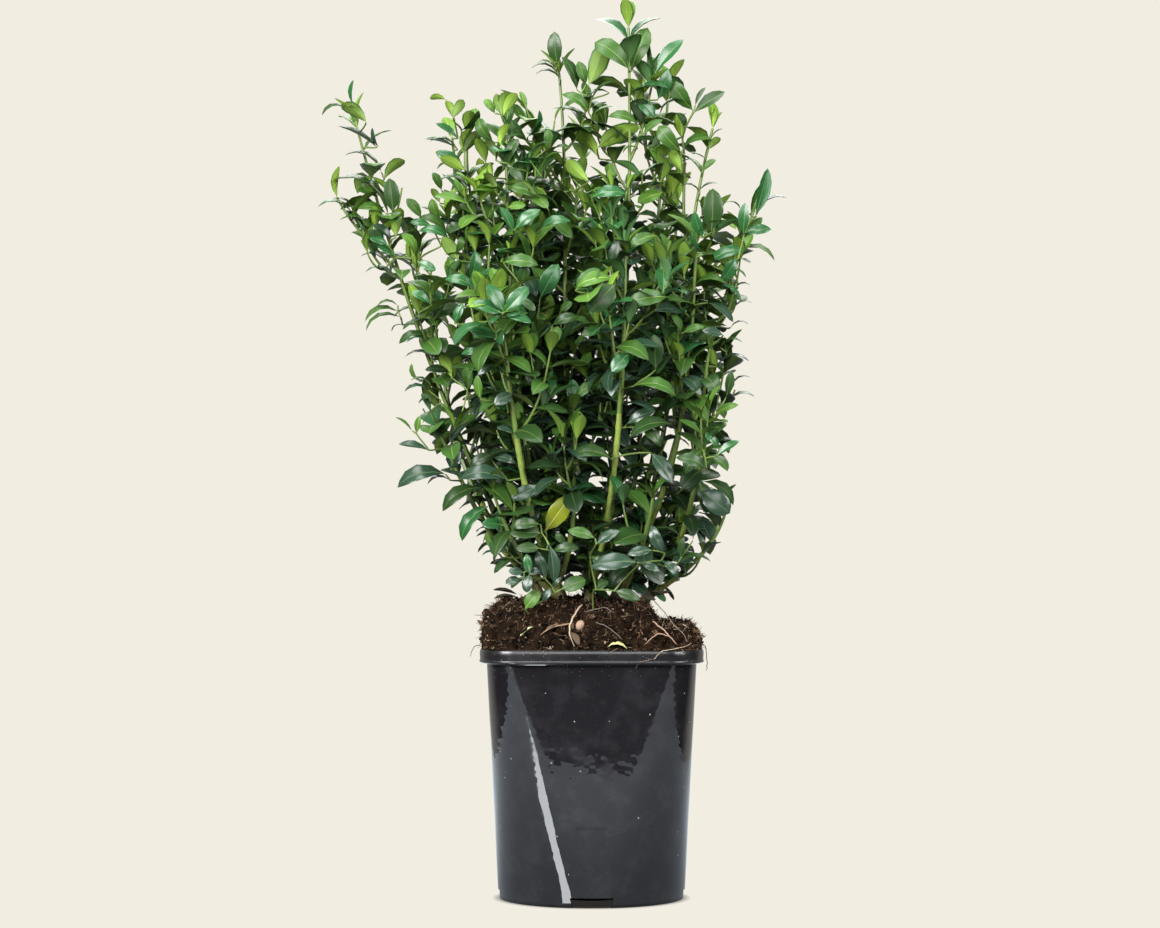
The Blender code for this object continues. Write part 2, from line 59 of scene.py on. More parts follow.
# %% Camera
IMAGE_WIDTH = 1160
IMAGE_HEIGHT = 928
FOCAL_PIXELS = 3676
CAMERA_PLACE = (-0.0078, -2.5, 0.2948)
camera = bpy.data.cameras.new("camera")
camera.sensor_width = 36
camera.lens = FOCAL_PIXELS / IMAGE_WIDTH * camera.sensor_width
camera_object = bpy.data.objects.new("camera", camera)
camera_object.location = CAMERA_PLACE
camera_object.rotation_euler = (math.pi / 2, 0, 0)
bpy.context.scene.collection.objects.link(camera_object)
bpy.context.scene.camera = camera_object
print(f"lens of {camera.lens:.0f} mm")

# %% [markdown]
# ## Materials
# A Principled shader takes each finish. Small helpers make the shader, its nodes and
# the links between them, so that each material below reads as a short list.


# %% Helpers for materials
def shader_of(made):
    return made.node_tree.nodes["Principled BSDF"]


def new_material(name, colour, roughness, **sockets):
    """A Principled material. Constants go straight on the shader's own sockets."""
    made = bpy.data.materials.new(name)
    made.use_nodes = True
    shader = shader_of(made)
    shader.inputs["Base Color"].default_value = (*colour, 1.0)
    shader.inputs["Roughness"].default_value = roughness
    for socket, value in sockets.items():
        shader.inputs[socket.replace("_", " ")].default_value = value
    return made


def add_node(tree, kind, **settings):
    """A node of that kind: settings are its properties, or values of its inputs."""
    node = tree.nodes.new("ShaderNode" + kind)
    for key, value in settings.items():
        if hasattr(node, key):
            setattr(node, key, value)
        else:
            node.inputs[key.replace("_", " ")].default_value = value
    return node


def link(tree, output, socket):
    tree.links.new(output, socket)


def feed(made, label, output):
    """Links an output to the shader's socket of that name."""
    link(made.node_tree, output, shader_of(made).inputs[label])


def set_input(tree, socket, value):
    """Gives a socket a number, a colour or another node's output."""
    if isinstance(value, bpy.types.NodeSocket):
        link(tree, value, socket)
    else:
        socket.default_value = (*value, 1.0) if isinstance(value, tuple) else value


def calc(tree, operation, *values, clamp=False):
    """What a Math node makes of numbers and sockets."""
    node = add_node(tree, "Math", operation=operation, use_clamp=clamp)
    for socket, value in zip(node.inputs, values):
        set_input(tree, socket, value)
    return node.outputs[0]


def place_on_object(tree):
    """The place on the object, whole and as its x, y and z."""
    place = add_node(tree, "TexCoord").outputs["Object"]
    parts = add_node(tree, "SeparateXYZ")
    link(tree, place, parts.inputs[0])
    return place, parts.outputs


# %% [markdown]
# ### Patches and specks
# Soil, bark and plastic all have soft patches, and most have small specks. Each effect
# is a node group that is built once. It reads the place on the object that it is
# given, and puts out only a value, so every material can mix its own colours with it.


# %% Node groups: patches and specks
def new_group(name, **numbers):
    """A node group that takes a place and some numbers, and puts out one value."""
    group = bpy.data.node_groups.new(name, "ShaderNodeTree")
    group.interface.new_socket("Place", in_out="INPUT", socket_type="NodeSocketVector")
    for label, number in numbers.items():
        socket = group.interface.new_socket(label, in_out="INPUT", socket_type="NodeSocketFloat")
        socket.default_value = number
    group.interface.new_socket("Value", in_out="OUTPUT", socket_type="NodeSocketFloat")
    given, out = group.nodes.new("NodeGroupInput"), group.nodes.new("NodeGroupOutput")
    return group, given.outputs, out.inputs["Value"]


def build_patches():
    """Soft noise, pushed towards black and white by its contrast."""
    group, given, out = new_group("patches", Scale=100.0, Contrast=1.0, Detail=5.0)
    soft = add_node(group, "TexNoise", Roughness=0.6)
    link(group, given["Place"], soft.inputs["Vector"])
    for label in ("Scale", "Detail"):
        link(group, given[label], soft.inputs[label])
    centred = calc(group, "SUBTRACT", soft.outputs[0], 0.5)
    spread = calc(group, "MULTIPLY", centred, given["Contrast"])
    link(group, calc(group, "ADD", spread, 0.5, clamp=True), out)
    return group


def build_specks():
    """Round specks of a size, at the middles of some of the cells of a Voronoi pattern."""
    group, given, out = new_group("specks", Scale=100.0, Size=0.15, Share=0.2)
    cells = add_node(group, "TexVoronoi")
    link(group, given["Place"], cells.inputs["Vector"])
    link(group, given["Scale"], cells.inputs["Scale"])
    pick = add_node(group, "SeparateColor")
    link(group, cells.outputs["Color"], pick.inputs[0])
    near = calc(group, "LESS_THAN", cells.outputs["Distance"], given["Size"])
    few = calc(group, "LESS_THAN", pick.outputs[0], given["Share"])
    link(group, calc(group, "MULTIPLY", near, few), out)
    return group


PATCHES = build_patches()
SPECKS = build_specks()


def use_group(tree, group, place, **values):
    node = tree.nodes.new("ShaderNodeGroup")
    node.node_tree = group
    link(tree, place, node.inputs["Place"])
    for key, value in values.items():
        node.inputs[key].default_value = value
    return node.outputs["Value"]


def mix_colour(tree, factor, first, second):
    """The first colour turning into the second. Each is a colour or a socket."""
    node = add_node(tree, "Mix", data_type="RGBA")
    for index, value in ((0, factor), (6, first), (7, second)):
        set_input(tree, node.inputs[index], value)
    return node.outputs[2]


def map_value(tree, value, *limits):
    """A value carried from one range, low to high, over to another one."""
    node = add_node(tree, "MapRange")
    for socket, number in zip(node.inputs, (value, *limits)):
        set_input(tree, socket, number)
    return node.outputs["Result"]


def bump(tree, height, strength, distance, normal=None):
    node = add_node(tree, "Bump", Strength=strength, Distance=distance)
    link(tree, height, node.inputs["Height"])
    if normal is not None:
        link(tree, normal, node.inputs["Normal"])
    return node.outputs["Normal"]


print("groups:", PATCHES.name, SPECKS.name)

# %% [markdown]
# ## From a bmesh to a piece
# Every piece ends the same way: its bmesh becomes a mesh, its object sits at the
# origin, it rides on the one body, and it stands for the solid nodes that it replaces.


# %% Finishing a piece
def mesh_of(bm, name="scratch"):
    """The bmesh as a mesh. It frees the bmesh."""
    mesh = bpy.data.meshes.new(name)
    bm.to_mesh(mesh)
    bm.free()
    return mesh


def put_in_scene(name, contents):
    made = bpy.data.objects.new(name, contents)
    bpy.context.scene.collection.objects.link(made)
    return made


def finish_piece(name, bm, materials, replaced=(), sharp_angle=60):
    mesh = mesh_of(bm, name)
    for made in materials:
        mesh.materials.append(made)
    mesh.shade_smooth()
    mesh.set_sharp_from_angle(angle=math.radians(sharp_angle))
    piece = put_in_scene(name, mesh)
    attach(piece, "root")
    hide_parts(*replaced)
    print(f"{name}: {len(mesh.polygons)} faces")


# %% [markdown]
# ## The pot
# A nursery pot is blown or moulded from thin black plastic. Its rim is square with
# round corners so that pots stand close together, and its foot is round. Each side is
# a flat triangle that ends in a point at the foot, and the corners between are parts
# of cones. So a ring of points is swept up from the foot, and each ring is set to its
# own rounded square. Four notches let water out under the foot.

# %% Sizes of the pot
POT_HEIGHT = 172 * MM
RIM_WIDTH = 150 * MM
RIM_BAND = 9.6 * MM
RIM_PROFILE = (
    (1.6, 0.0), (0.9, 0.15), (0.35, 0.55), (0.1, 1.15), (0.15, 1.75), (0.5, 2.3),
    (0.45, 3.6), (0.3, 5.4), (0.35, 7.2), (0.55, 8.3), (0.95, 9.05), (1.6, 9.45),
    (2.4, 9.6), (5.0, 9.5), (6.0, 8.8), (6.2, 6.6),
)
WALL_TOP_WIDTH = 140 * MM
FOOT_DIAMETER = 126.5 * MM
TOP_CORNER_RADIUS = 22 * MM
WALL = 1.6 * MM
FLOOR_UNDERSIDE = 8 * MM
PAD_RADIUS = 20 * MM
NOTCH_HEIGHT = 6.8 * MM
NOTCH_ANGLE = math.degrees(math.asin(13 * MM / (FOOT_DIAMETER / 2)))
CORNER_ANGLES = (*np.linspace(0, NOTCH_ANGLE, 4),
                 *np.linspace(NOTCH_ANGLE, 90 - NOTCH_ANGLE, 14)[1:-1],
                 *np.linspace(90 - NOTCH_ANGLE, 90, 4))


def rounded_square(flat, radius):
    """Points round a square of flat sides, each 2 * flat long, and round corners."""
    points = []
    for quarter in range(4):
        turn = Matrix.Rotation(quarter * math.pi / 2, 2)
        for angle in CORNER_ANGLES:
            side = Vector((math.cos(math.radians(angle)), math.sin(math.radians(angle))))
            points.append(turn @ (Vector((flat, flat)) + side * radius))
    return points


def wall_section(height):
    """The wall's outline at a height: a circle at the foot, squarer above."""
    share = max(0.0, height / (POT_HEIGHT - RIM_BAND))
    flat = (WALL_TOP_WIDTH / 2 - TOP_CORNER_RADIUS) * share
    radius = FOOT_DIAMETER / 2 + (TOP_CORNER_RADIUS - FOOT_DIAMETER / 2) * share
    return rounded_square(flat, radius)


def square_section(half_width):
    flat = WALL_TOP_WIDTH / 2 - TOP_CORNER_RADIUS
    return rounded_square(flat, half_width - flat)


def extrude_edges(bm, edges):
    """Extrudes edges. Gives all that it made, and the new corners among it."""
    made = bmesh.ops.extrude_edge_only(bm, edges=edges)["geom"]
    return made, {g for g in made if isinstance(g, bmesh.types.BMVert)}


def sweep_rings(rings, cap_ends=False):
    """A ring of edges set to the first ring of points, then extruded to each other one."""
    bm = bmesh.new()
    count = len(rings[0])
    made = bmesh.ops.create_circle(bm, segments=count, radius=1.0, cap_ends=cap_ends)
    loop = made["verts"]
    edges = bm.edges[:]
    for number, ring in enumerate(rings):
        if number:
            made, fresh = extrude_edges(bm, edges)
            edges = [g for g in made
                     if isinstance(g, bmesh.types.BMEdge) and set(g.verts) <= fresh]
            loop = [next(e.other_vert(v) for e in v.link_edges if e.other_vert(v) in fresh)
                    for v in loop]
        for vertex, point in zip(loop, ring):
            vertex.co = point
    if cap_ends:
        bmesh.ops.contextual_create(bm, geom=edges)
        bmesh.ops.recalc_face_normals(bm, faces=bm.faces)
    return bm


# %% The pot's wall, rim and notches
rim = RIM_WIDTH / 2
foot = FOOT_DIAMETER / 2
wall_top = POT_HEIGHT - RIM_BAND
wall_rings = [(rounded_square(0, foot - inset * MM), height * MM)
              for inset, height in ((1.5, 0.0), (0.8, 0.25), (0.3, 0.9))]
wall_heights = [2.0 * MM, 3.2 * MM, NOTCH_HEIGHT, *np.linspace(16 * MM, 160 * MM, 13),
                wall_top - 0.8 * MM]
wall_rings += [(wall_section(height), height) for height in wall_heights]
wall_rings.append((square_section(70.5 * MM), wall_top - 0.1 * MM))
wall_rings += [(square_section(rim - out * MM), wall_top + height * MM)
               for out, height in RIM_PROFILE]
pot_mesh = sweep_rings([[(*point, height) for point in outline]
                        for outline, height in wall_rings])
notch_faces = []
for face in pot_mesh.faces:
    middle = face.calc_center_median()
    off_side = math.degrees(math.atan2(min(abs(middle.x), abs(middle.y)),
                                       max(abs(middle.x), abs(middle.y))))
    if middle.z < NOTCH_HEIGHT and off_side < NOTCH_ANGLE:
        notch_faces.append(face)
bmesh.ops.delete(pot_mesh, geom=notch_faces, context="FACES")
bmesh.ops.recalc_face_normals(pot_mesh, faces=pot_mesh.faces)
if sum(f.normal.dot(f.calc_center_median()) for f in pot_mesh.faces) < 0:
    bmesh.ops.reverse_faces(pot_mesh, faces=pot_mesh.faces)
bmesh.ops.solidify(pot_mesh, geom=pot_mesh.faces[:], thickness=WALL)
print("notches cut:", len(notch_faces), "faces")

# %% The pot's floor, with its drain holes and the pad it stands on
DRAIN_HOLES = 8
DRAIN_RADIUS = 5 * MM
DRAINS_FROM_MIDDLE = 42 * MM
plate = bmesh.new()
bmesh.ops.create_cone(plate, segments=96, cap_ends=True, radius1=foot - 1.2 * MM,
                      radius2=foot - 1.1 * MM, depth=WALL)
bmesh.ops.translate(plate, verts=plate.verts, vec=(0, 0, FLOOR_UNDERSIDE + WALL / 2))
drill = bmesh.new()
for hole in range(DRAIN_HOLES):
    turn = Matrix.Rotation((hole + 0.5) * math.tau / DRAIN_HOLES, 4, "Z")
    spot = Matrix.Translation((DRAINS_FROM_MIDDLE, 0, FLOOR_UNDERSIDE))
    bmesh.ops.create_cone(drill, segments=20, cap_ends=True, radius1=DRAIN_RADIUS,
                          radius2=DRAIN_RADIUS, depth=12 * MM, matrix=turn @ spot)
helpers = [put_in_scene("helper", mesh_of(bm)) for bm in (plate, drill)]
holes = helpers[0].modifiers.new("holes", "BOOLEAN")
holes.operation = "DIFFERENCE"
holes.object = helpers[1]
graph = bpy.context.evaluated_depsgraph_get()
pot_mesh.from_mesh(helpers[0].evaluated_get(graph).data)
for helper in helpers:
    bpy.data.objects.remove(helper)
pad = bmesh.new()
bmesh.ops.create_cone(pad, segments=64, cap_ends=True, radius1=PAD_RADIUS,
                      radius2=PAD_RADIUS + 1 * MM, depth=FLOOR_UNDERSIDE + 0.2 * MM)
bmesh.ops.translate(pad, verts=pad.verts, vec=(0, 0, FLOOR_UNDERSIDE / 2 + 0.1 * MM))
foot_edges = [e for e in pad.edges if all(v.co.z < MM for v in e.verts)]
bmesh.ops.bevel(pad, geom=foot_edges, offset=0.6 * MM, segments=2, profile=0.5,
                affect="EDGES", material=-1)
pot_mesh.from_mesh(mesh_of(pad))

# %% [markdown]
# ### Glossy black plastic
# The plastic is nearly black and glossy, with a faint unevenness that bends its
# reflections. Handling has left dull smears, dust and pale specks of dried soil, most of
# them on the rim. A shallow upright panel stands over each notch.

# %% Material of the pot
SCUFFED = 0.26


def build_pot_plastic():
    made = new_material("pot_plastic", (0.012, 0.0115, 0.013), 0.12, IOR=1.5)
    tree = made.node_tree
    place, (x, y, height) = place_on_object(tree)
    dust = use_group(tree, PATCHES, place, Scale=60.0, Contrast=3.0)
    smears = use_group(tree, PATCHES, place, Scale=34.0, Contrast=6.0)
    specks = use_group(tree, SPECKS, place, Scale=260.0, Size=0.13, Share=0.07)
    grit = use_group(tree, SPECKS, place, Scale=620.0, Size=0.2, Share=0.22)
    on_rim = map_value(tree, height, 0.1615, 0.1635, 0.0, 1.0)
    dusty = mix_colour(tree, map_value(tree, dust, 0.4, 1.0, 0.0, 0.4),
                       (0.0098, 0.0092, 0.0108), (0.026, 0.025, 0.028))
    rim_grey = mix_colour(tree, dust, (0.004, 0.004, 0.005), (0.019, 0.0185, 0.019))
    bare = mix_colour(tree, on_rim, dusty, rim_grey)
    gritty = map_value(tree, height, 0.150, 0.165, 0.05, 0.5)
    marks = calc(tree, "MULTIPLY_ADD", grit, gritty, specks, clamp=True)
    feed(made, "Base Color", mix_colour(tree, map_value(tree, marks, 0.0, 1.0, 0.0, 0.7),
                                        bare, (0.30, 0.29, 0.27)))
    wall_rough = map_value(tree, smears, 0.55, 1.0, 0.02, 0.10)
    smooth = add_node(tree, "Mix")
    for index, value in ((0, on_rim), (2, wall_rough), (3, SCUFFED)):
        set_input(tree, smooth.inputs[index], value)
    dull = map_value(tree, marks, 0.0, 1.0, 0.0, 0.8)
    feed(made, "Roughness", calc(tree, "MAXIMUM", smooth.outputs[0], dull))
    nearest = calc(tree, "MINIMUM", calc(tree, "ABSOLUTE", x), calc(tree, "ABSOLUTE", y))
    panel = map_value(tree, nearest, 0.0102, 0.0108, 0.0, 1.0)
    top = map_value(tree, height, 0.052, 0.0545, 0.0, 1.0)
    recess = calc(tree, "MAXIMUM", panel, top)
    wave = use_group(tree, PATCHES, place, Scale=14.0, Contrast=1.0, Detail=0.0)
    ripple = use_group(tree, PATCHES, place, Scale=130.0, Contrast=1.0, Detail=1.0)
    uneven = bump(tree, ripple, 0.25, 0.0004, bump(tree, wave, 0.3, 0.0016))
    feed(made, "Normal", bump(tree, recess, 0.7, 0.0002, uneven))
    return made


finish_piece("pot_shell", pot_mesh, [build_pot_plastic()], ["pot"], 28)

# %% [markdown]
# ## The soil
# The peat stands above the rim like the root ball of a smaller pot: steep on the
# left, sloping on the right. A fine grid is bent to that mound and roughened by noise.
# Its edge is turned down into the pot, so that the piece is closed.

# %% The mound's height
MOUND_HEIGHT = 31 * MM
MOUND_HALF_WIDTH = 73.5 * MM
CRUMB_SIZE = 16 * MM
CRUMB_HEIGHT = 2.2 * MM
GAP = 0.3 * MM
SLUMP_START = 35 * MM
SLUMP_RUN = 13 * MM
SLUMP_LEVEL = 14 * MM


def clamped(value, low=0.0, high=1.0):
    return min(max(value, low), high)


def mound_height(x, y):
    """The height of the soil's surface above the rim: steep on the left."""
    side = clamped(x / MOUND_HALF_WIDTH, -1.0)
    edge = (abs(side) ** 5 + abs(y / MOUND_HALF_WIDTH) ** 5) ** 0.2
    bank = max(0.0, 1 - edge**7) ** (0.42 + 0.18 * side)
    dome = 1 - 0.16 * edge**2 * (1 + side)
    crumbs = noise.noise(Vector((x, y, 0.7)) / CRUMB_SIZE) * CRUMB_HEIGHT
    return MOUND_HEIGHT * bank * dome + crumbs * bank


def soil_level(x, y):
    """The mound with its right side washed down, well clear of the stems' feet."""
    slump = clamped((x - SLUMP_START) / SLUMP_RUN)
    height = mound_height(x, y)
    lowered = min(height, SLUMP_LEVEL)
    return POT_HEIGHT + GAP + height + (lowered - height) * slump * slump * (3 - 2 * slump)


# %% The mound
SOIL_CELLS = 170
corner = MOUND_HALF_WIDTH - TOP_CORNER_RADIUS
mound = bmesh.new()
bmesh.ops.create_grid(mound, x_segments=SOIL_CELLS, y_segments=SOIL_CELLS, size=1.0)
for vertex in mound.verts:
    x, y = (math.sin(c * math.pi / 2) * MOUND_HALF_WIDTH for c in vertex.co.xy)
    past = Vector((abs(x) - corner, abs(y) - corner))
    if past.x > 0 and past.y > 0:
        past = past.normalized() * max(past.x, past.y)
        x = math.copysign(corner + past.x, x)
        y = math.copysign(corner + past.y, y)
    vertex.co = (x, y, soil_level(x, y))
mound.normal_update()


def loose_peat(point):
    """How far loose peat stands out at a point: small lumps, a few clods, and pits."""
    lumps = noise.fractal(point / (6 * MM), 0.7, 2.2, 4)
    clods = max(0.0, noise.noise(point / (9 * MM)) - 0.12)
    pits = max(0.0, abs(noise.noise(point / (5 * MM))) - 0.12)
    return (1.3 * lumps + 5.0 * clods - 9.0 * pits) * MM


shifts = [vertex.normal * loose_peat(vertex.co) for vertex in mound.verts]
for vertex, shift in zip(mound.verts, shifts):
    vertex.co += shift
    vertex.co.z = max(vertex.co.z, POT_HEIGHT + 0.4 * MM)
SOIL_FACES = [(face.calc_center_median(), face.normal.copy(), face.calc_area())
              for face in mound.faces]
for inset, height in ((0.0, POT_HEIGHT - 0.2 * MM), (5.2 * MM, POT_HEIGHT - 0.3 * MM),
                      (6.4 * MM, POT_HEIGHT - 20 * MM)):
    _, fresh = extrude_edges(mound, [e for e in mound.edges if e.is_boundary])
    for vertex in fresh:
        keep = 1 - inset / max(abs(vertex.co.x), abs(vertex.co.y))
        vertex.co = (vertex.co.x * keep, vertex.co.y * keep, height)
bmesh.ops.holes_fill(mound, edges=[e for e in mound.edges if e.is_boundary], sides=0)
bmesh.ops.recalc_face_normals(mound, faces=mound.faces)


# %% Material of the peat
def build_peat(name, dark, light, red):
    made = new_material(name, dark, 0.95, Specular_IOR_Level=0.05)
    tree = made.node_tree
    place = add_node(tree, "TexCoord").outputs["Object"]
    broad = use_group(tree, PATCHES, place, Scale=90.0, Contrast=2.2)
    fine = use_group(tree, PATCHES, place, Scale=900.0, Contrast=3.2)
    brown = mix_colour(tree, fine, dark, light)
    reddish = map_value(tree, broad, 0.35, 1.0, 0.0, 0.6)
    feed(made, "Base Color", mix_colour(tree, reddish, brown, red))
    feed(made, "Normal", bump(tree, fine, 0.8, 0.0008))
    return made


peat = build_peat("peat", (0.003, 0.002, 0.001), (0.022, 0.013, 0.007), (0.036, 0.018, 0.009))
finish_piece("peat_mound", mound, [peat], ["soil"])

# %% [markdown]
# ### Crumbs and fibres
# Peat is a felt of crumbs and short fibres. A crumb is a 20-faced ball with its corners
# pushed in or out, squashed and turned at random. They lie evenly over the mound, also on
# its steep edge, where their outline shows. Each has a plain brown, so no pattern is
# needed.

# %% Crumbs
SOIL_BROWNS = {
    "peat_black": (0.005, 0.003, 0.002),
    "peat_brown": (0.032, 0.019, 0.011),
    "peat_red": (0.100, 0.056, 0.032),
    "peat_tan": (0.23, 0.17, 0.11),
    "straw": (0.44, 0.37, 0.27),
}
CRUMB_SHARES = (0.46, 0.32, 0.16, 0.05, 0.01)
CRUMBS = 4600
soil_materials = [new_material(name, colour, 0.9, Specular_IOR_Level=0.1)
                  for name, colour in SOIL_BROWNS.items()]
areas = [area for _, _, area in SOIL_FACES]


def pick_brown(rng, shares):
    return rng.choices(range(len(shares)), weights=shares)[0]


def crumb_mesh(rng, material):
    """A ball of radius one with its corners pushed in or out, all of one material."""
    bm = bmesh.new()
    bmesh.ops.create_icosphere(bm, subdivisions=1, radius=1.0)
    for vertex in bm.verts:
        vertex.co *= rng.uniform(0.55, 1.35)
    for face in bm.faces:
        face.material_index = material
    return mesh_of(bm)


def add_copy(bm, mesh, matrix):
    """Adds a placed copy of a mesh."""
    copy = mesh.copy()
    copy.transform(matrix)
    bm.from_mesh(copy)
    bpy.data.meshes.remove(copy)


def random_turn(rng):
    axis = Vector([rng.uniform(-1, 1) for _ in range(3)]).normalized()
    return Matrix.Rotation(rng.uniform(0, math.tau), 4, axis)


def squashed(rng, size):
    return Matrix.Diagonal((size, size * rng.uniform(0.4, 0.9), size * rng.uniform(0.3, 0.7), 1))


rng = random.Random(7)
CRUMB_MESHES = [[crumb_mesh(rng, i) for _ in range(8)] for i in range(len(SOIL_BROWNS))]


def add_crumb(bm, place, size, rng):
    matrix = Matrix.Translation(place) @ random_turn(rng) @ squashed(rng, size)
    add_copy(bm, rng.choice(CRUMB_MESHES[pick_brown(rng, CRUMB_SHARES)]), matrix)


crumbs = bmesh.new()
for number, (middle, normal, _) in enumerate(rng.choices(SOIL_FACES, weights=areas, k=CRUMBS)):
    size = (rng.uniform(0.4, 1.2) if number % 7 else rng.uniform(1.2, 2.6)) * MM
    place = middle + normal * size * rng.uniform(-0.1, 0.8)
    place.z = max(place.z, POT_HEIGHT + size * 0.2)
    add_crumb(crumbs, place, size, rng)
for number in range(170):
    x = (rng.betavariate(4, 1.2) * 2 - 1) * 70 * MM
    size = rng.uniform(0.3, 0.9) * MM
    add_crumb(crumbs, Vector((x, rng.uniform(-74.6, -73.2) * MM, POT_HEIGHT + size * 0.2)),
              size, rng)
finish_piece("peat_crumbs", crumbs, soil_materials, ["soil"])


# %% Tubes round a path
def tube(path, radii, sides):
    """A tube round a path, with a radius for each of its points."""
    places = [Vector(p) for p in path]
    side = None
    rings = []
    for i, place in enumerate(places):
        ahead = places[min(i + 1, len(places) - 1)] - places[max(i - 1, 0)]
        ahead.normalize()
        side = ahead.orthogonal() if side is None else side - side.project(ahead)
        side.normalize()
        other = ahead.cross(side)
        turns = [step * math.tau / sides for step in range(sides)]
        rings.append([place + (side * math.cos(t) + other * math.sin(t)) * radii[i]
                      for t in turns])
    return sweep_rings(rings, cap_ends=True)


def pour(target, source, material=None):
    """Adds one bmesh to another and frees it."""
    for face in source.faces if material is not None else ():
        face.material_index = material
    carrier = mesh_of(source)
    target.from_mesh(carrier)
    bpy.data.meshes.remove(carrier)


# %% Fibres
FIBRES = 6800
FIBRE_SHARES = (0.32, 0.27, 0.23, 0.15, 0.03)
FIBRE_RADIUS = 0.028


def fibre_mesh(rng, material):
    """A bent thread about one long that leaves the ground (z = 0) at the origin."""
    heading = Vector((rng.uniform(-1, 1), rng.uniform(-1, 1), rng.triangular(-0.2, 1.2, 0.2)))
    points = [Vector((0, 0, -0.1))]
    for step in range(3):
        points.append(points[-1] + heading.normalized() / 3)
        bend = Vector([rng.uniform(-1, 1) for _ in range(3)])
        heading = heading.normalized() + 0.55 * bend
    radii = [FIBRE_RADIUS * share for share in (1.0, 1.0, 0.8, 0.4)]
    bm = tube(points, radii, 3)
    for face in bm.faces:
        face.material_index = material
    return mesh_of(bm)


rng = random.Random(11)
FIBRE_MESHES = [[fibre_mesh(rng, i) for _ in range(24)] for i in range(len(SOIL_BROWNS))]
fibres = bmesh.new()
for number, (middle, normal, _) in enumerate(rng.choices(SOIL_FACES, weights=areas, k=FIBRES)):
    length = (rng.uniform(2.5, 6) if number % 16 else rng.uniform(6, 10)) * MM
    turn = normal.to_track_quat("Z", "Y").to_matrix().to_4x4()
    spin = Matrix.Rotation(rng.uniform(0, math.tau), 4, "Z")
    matrix = Matrix.Translation(middle) @ turn @ spin @ Matrix.Scale(length, 4)
    add_copy(fibres, rng.choice(FIBRE_MESHES[pick_brown(rng, FIBRE_SHARES)]), matrix)
finish_piece("peat_fibres", fibres, soil_materials, ["soil"])

# %% [markdown]
# ### Roots that show
# A few pale roots lie in loops on the front of the mound, and threads hang over the rim.
# Each root is a smooth curve through a few given points on the soil.

# %% Roots that show
Root = namedtuple("Root", "radius tint points")
ROOTS = (
    Root(0.62, "pale", ((-6.5, -59, 201.5), (-9.5, -65, 198), (-13.8, -71.5, 190.5),
                        (-14.6, -74.3, 183), (-11.6, -75.2, 174.6))),
    Root(0.42, "tan", ((-14, -71.5, 189.5), (-21, -73, 188.2), (-29, -73.6, 185.6),
                       (-34, -74, 182))),
    Root(0.52, "pink", ((40.5, -66, 190.5), (47, -71.5, 185.5), (51, -73.8, 181.5),
                        (56, -74.6, 175.6))),
    Root(0.40, "pink", ((51, -73.9, 181.4), (44, -75.0, 182.6), (39.5, -75.2, 180.0),
                        (35, -75.2, 175.8))),
    Root(0.32, "grey", ((38, -36, 208), (43, -43, 201.5), (48, -50, 196.5), (52, -57, 191.5),
                        (55, -63, 187.5), (60, -68, 183), (63, -71, 177))),
    Root(0.26, "grey", ((3, -70, 190), (10, -73, 187.5), (17, -74.5, 182), (20, -75, 179))),
    Root(0.28, "grey", ((-4, -70, 197), (3, -68, 199), (9, -66, 199.5), (15, -69, 196))),
    Root(0.24, "pale", ((41, -75.5, 166), (46, -76.0, 171), (52, -75.4, 172.6),
                        (60, -74, 173.8), (66, -70, 176))),
    Root(0.20, "grey", ((29, -70.6, 160), (33, -75.8, 164.5), (41, -75.5, 166))),
    Root(0.26, "dark", ((-74, -44, 174), (-77.5, -45, 173.4), (-80, -46, 170), (-81, -46, 166))),
    Root(0.30, "dark", ((72, -50, 175), (75.6, -52, 173.5), (76.4, -52, 168),
                        (76.8, -52, 160.5), (76.4, -52, 157))),
)
ROOT_TINTS = {
    "pale": (0.36, 0.285, 0.195),
    "tan": (0.25, 0.17, 0.10),
    "pink": (0.30, 0.18, 0.12),
    "grey": (0.15, 0.12, 0.095),
    "dark": (0.024, 0.016, 0.011),
}
ROOT_STRAY = 0.5 * MM


def through(points, steps=8):
    """A smooth curve through points: each stretch leaves along its neighbours' line."""
    spots = [Vector(p) for p in points]
    ends = [spots[0] * 2 - spots[1], *spots, spots[-1] * 2 - spots[-2]]
    curve = []
    for before, start, stop, after in zip(ends, ends[1:], ends[2:], ends[3:]):
        stretch = interpolate_bezier(start, start + (stop - before) / 6,
                                     stop - (after - start) / 6, stop, steps + 1)
        curve += stretch[:-1]
    return curve + [spots[-1]]


def wander(number, step):
    """How far a root strays at a step: smooth noise, apart for each root and axis."""
    strays = [noise.noise(Vector((number * 3.1, step * 0.35, 7.3 * axis))) for axis in range(3)]
    return Vector(strays) * ROOT_STRAY


roots = bmesh.new()
tints = list(ROOT_TINTS)
for number, root in enumerate(ROOTS):
    curve = through([Vector(p) * MM for p in root.points])
    curve = [point + wander(number, step) for step, point in enumerate(curve)]
    widths = np.interp(np.linspace(0, 1, len(curve)), (0, 0.15, 0.8, 1), (0.8, 1, 0.8, 0.35))
    pour(roots, tube(curve, widths * root.radius * MM, 8), tints.index(root.tint))
root_materials = [new_material("root_" + name, tint, 0.6) for name, tint in ROOT_TINTS.items()]
finish_piece("surface_roots", roots, root_materials, ["soil"])

# %% [markdown]
# ## Stems and boughs
# Every limb is one smooth curve from its foot to the tip of its mass of leaves. The
# lower part is bare bark, brown at the foot and green higher up, with a slight swelling
# at each old pair of leaves. A ring of points is swept along the curve and roughened.

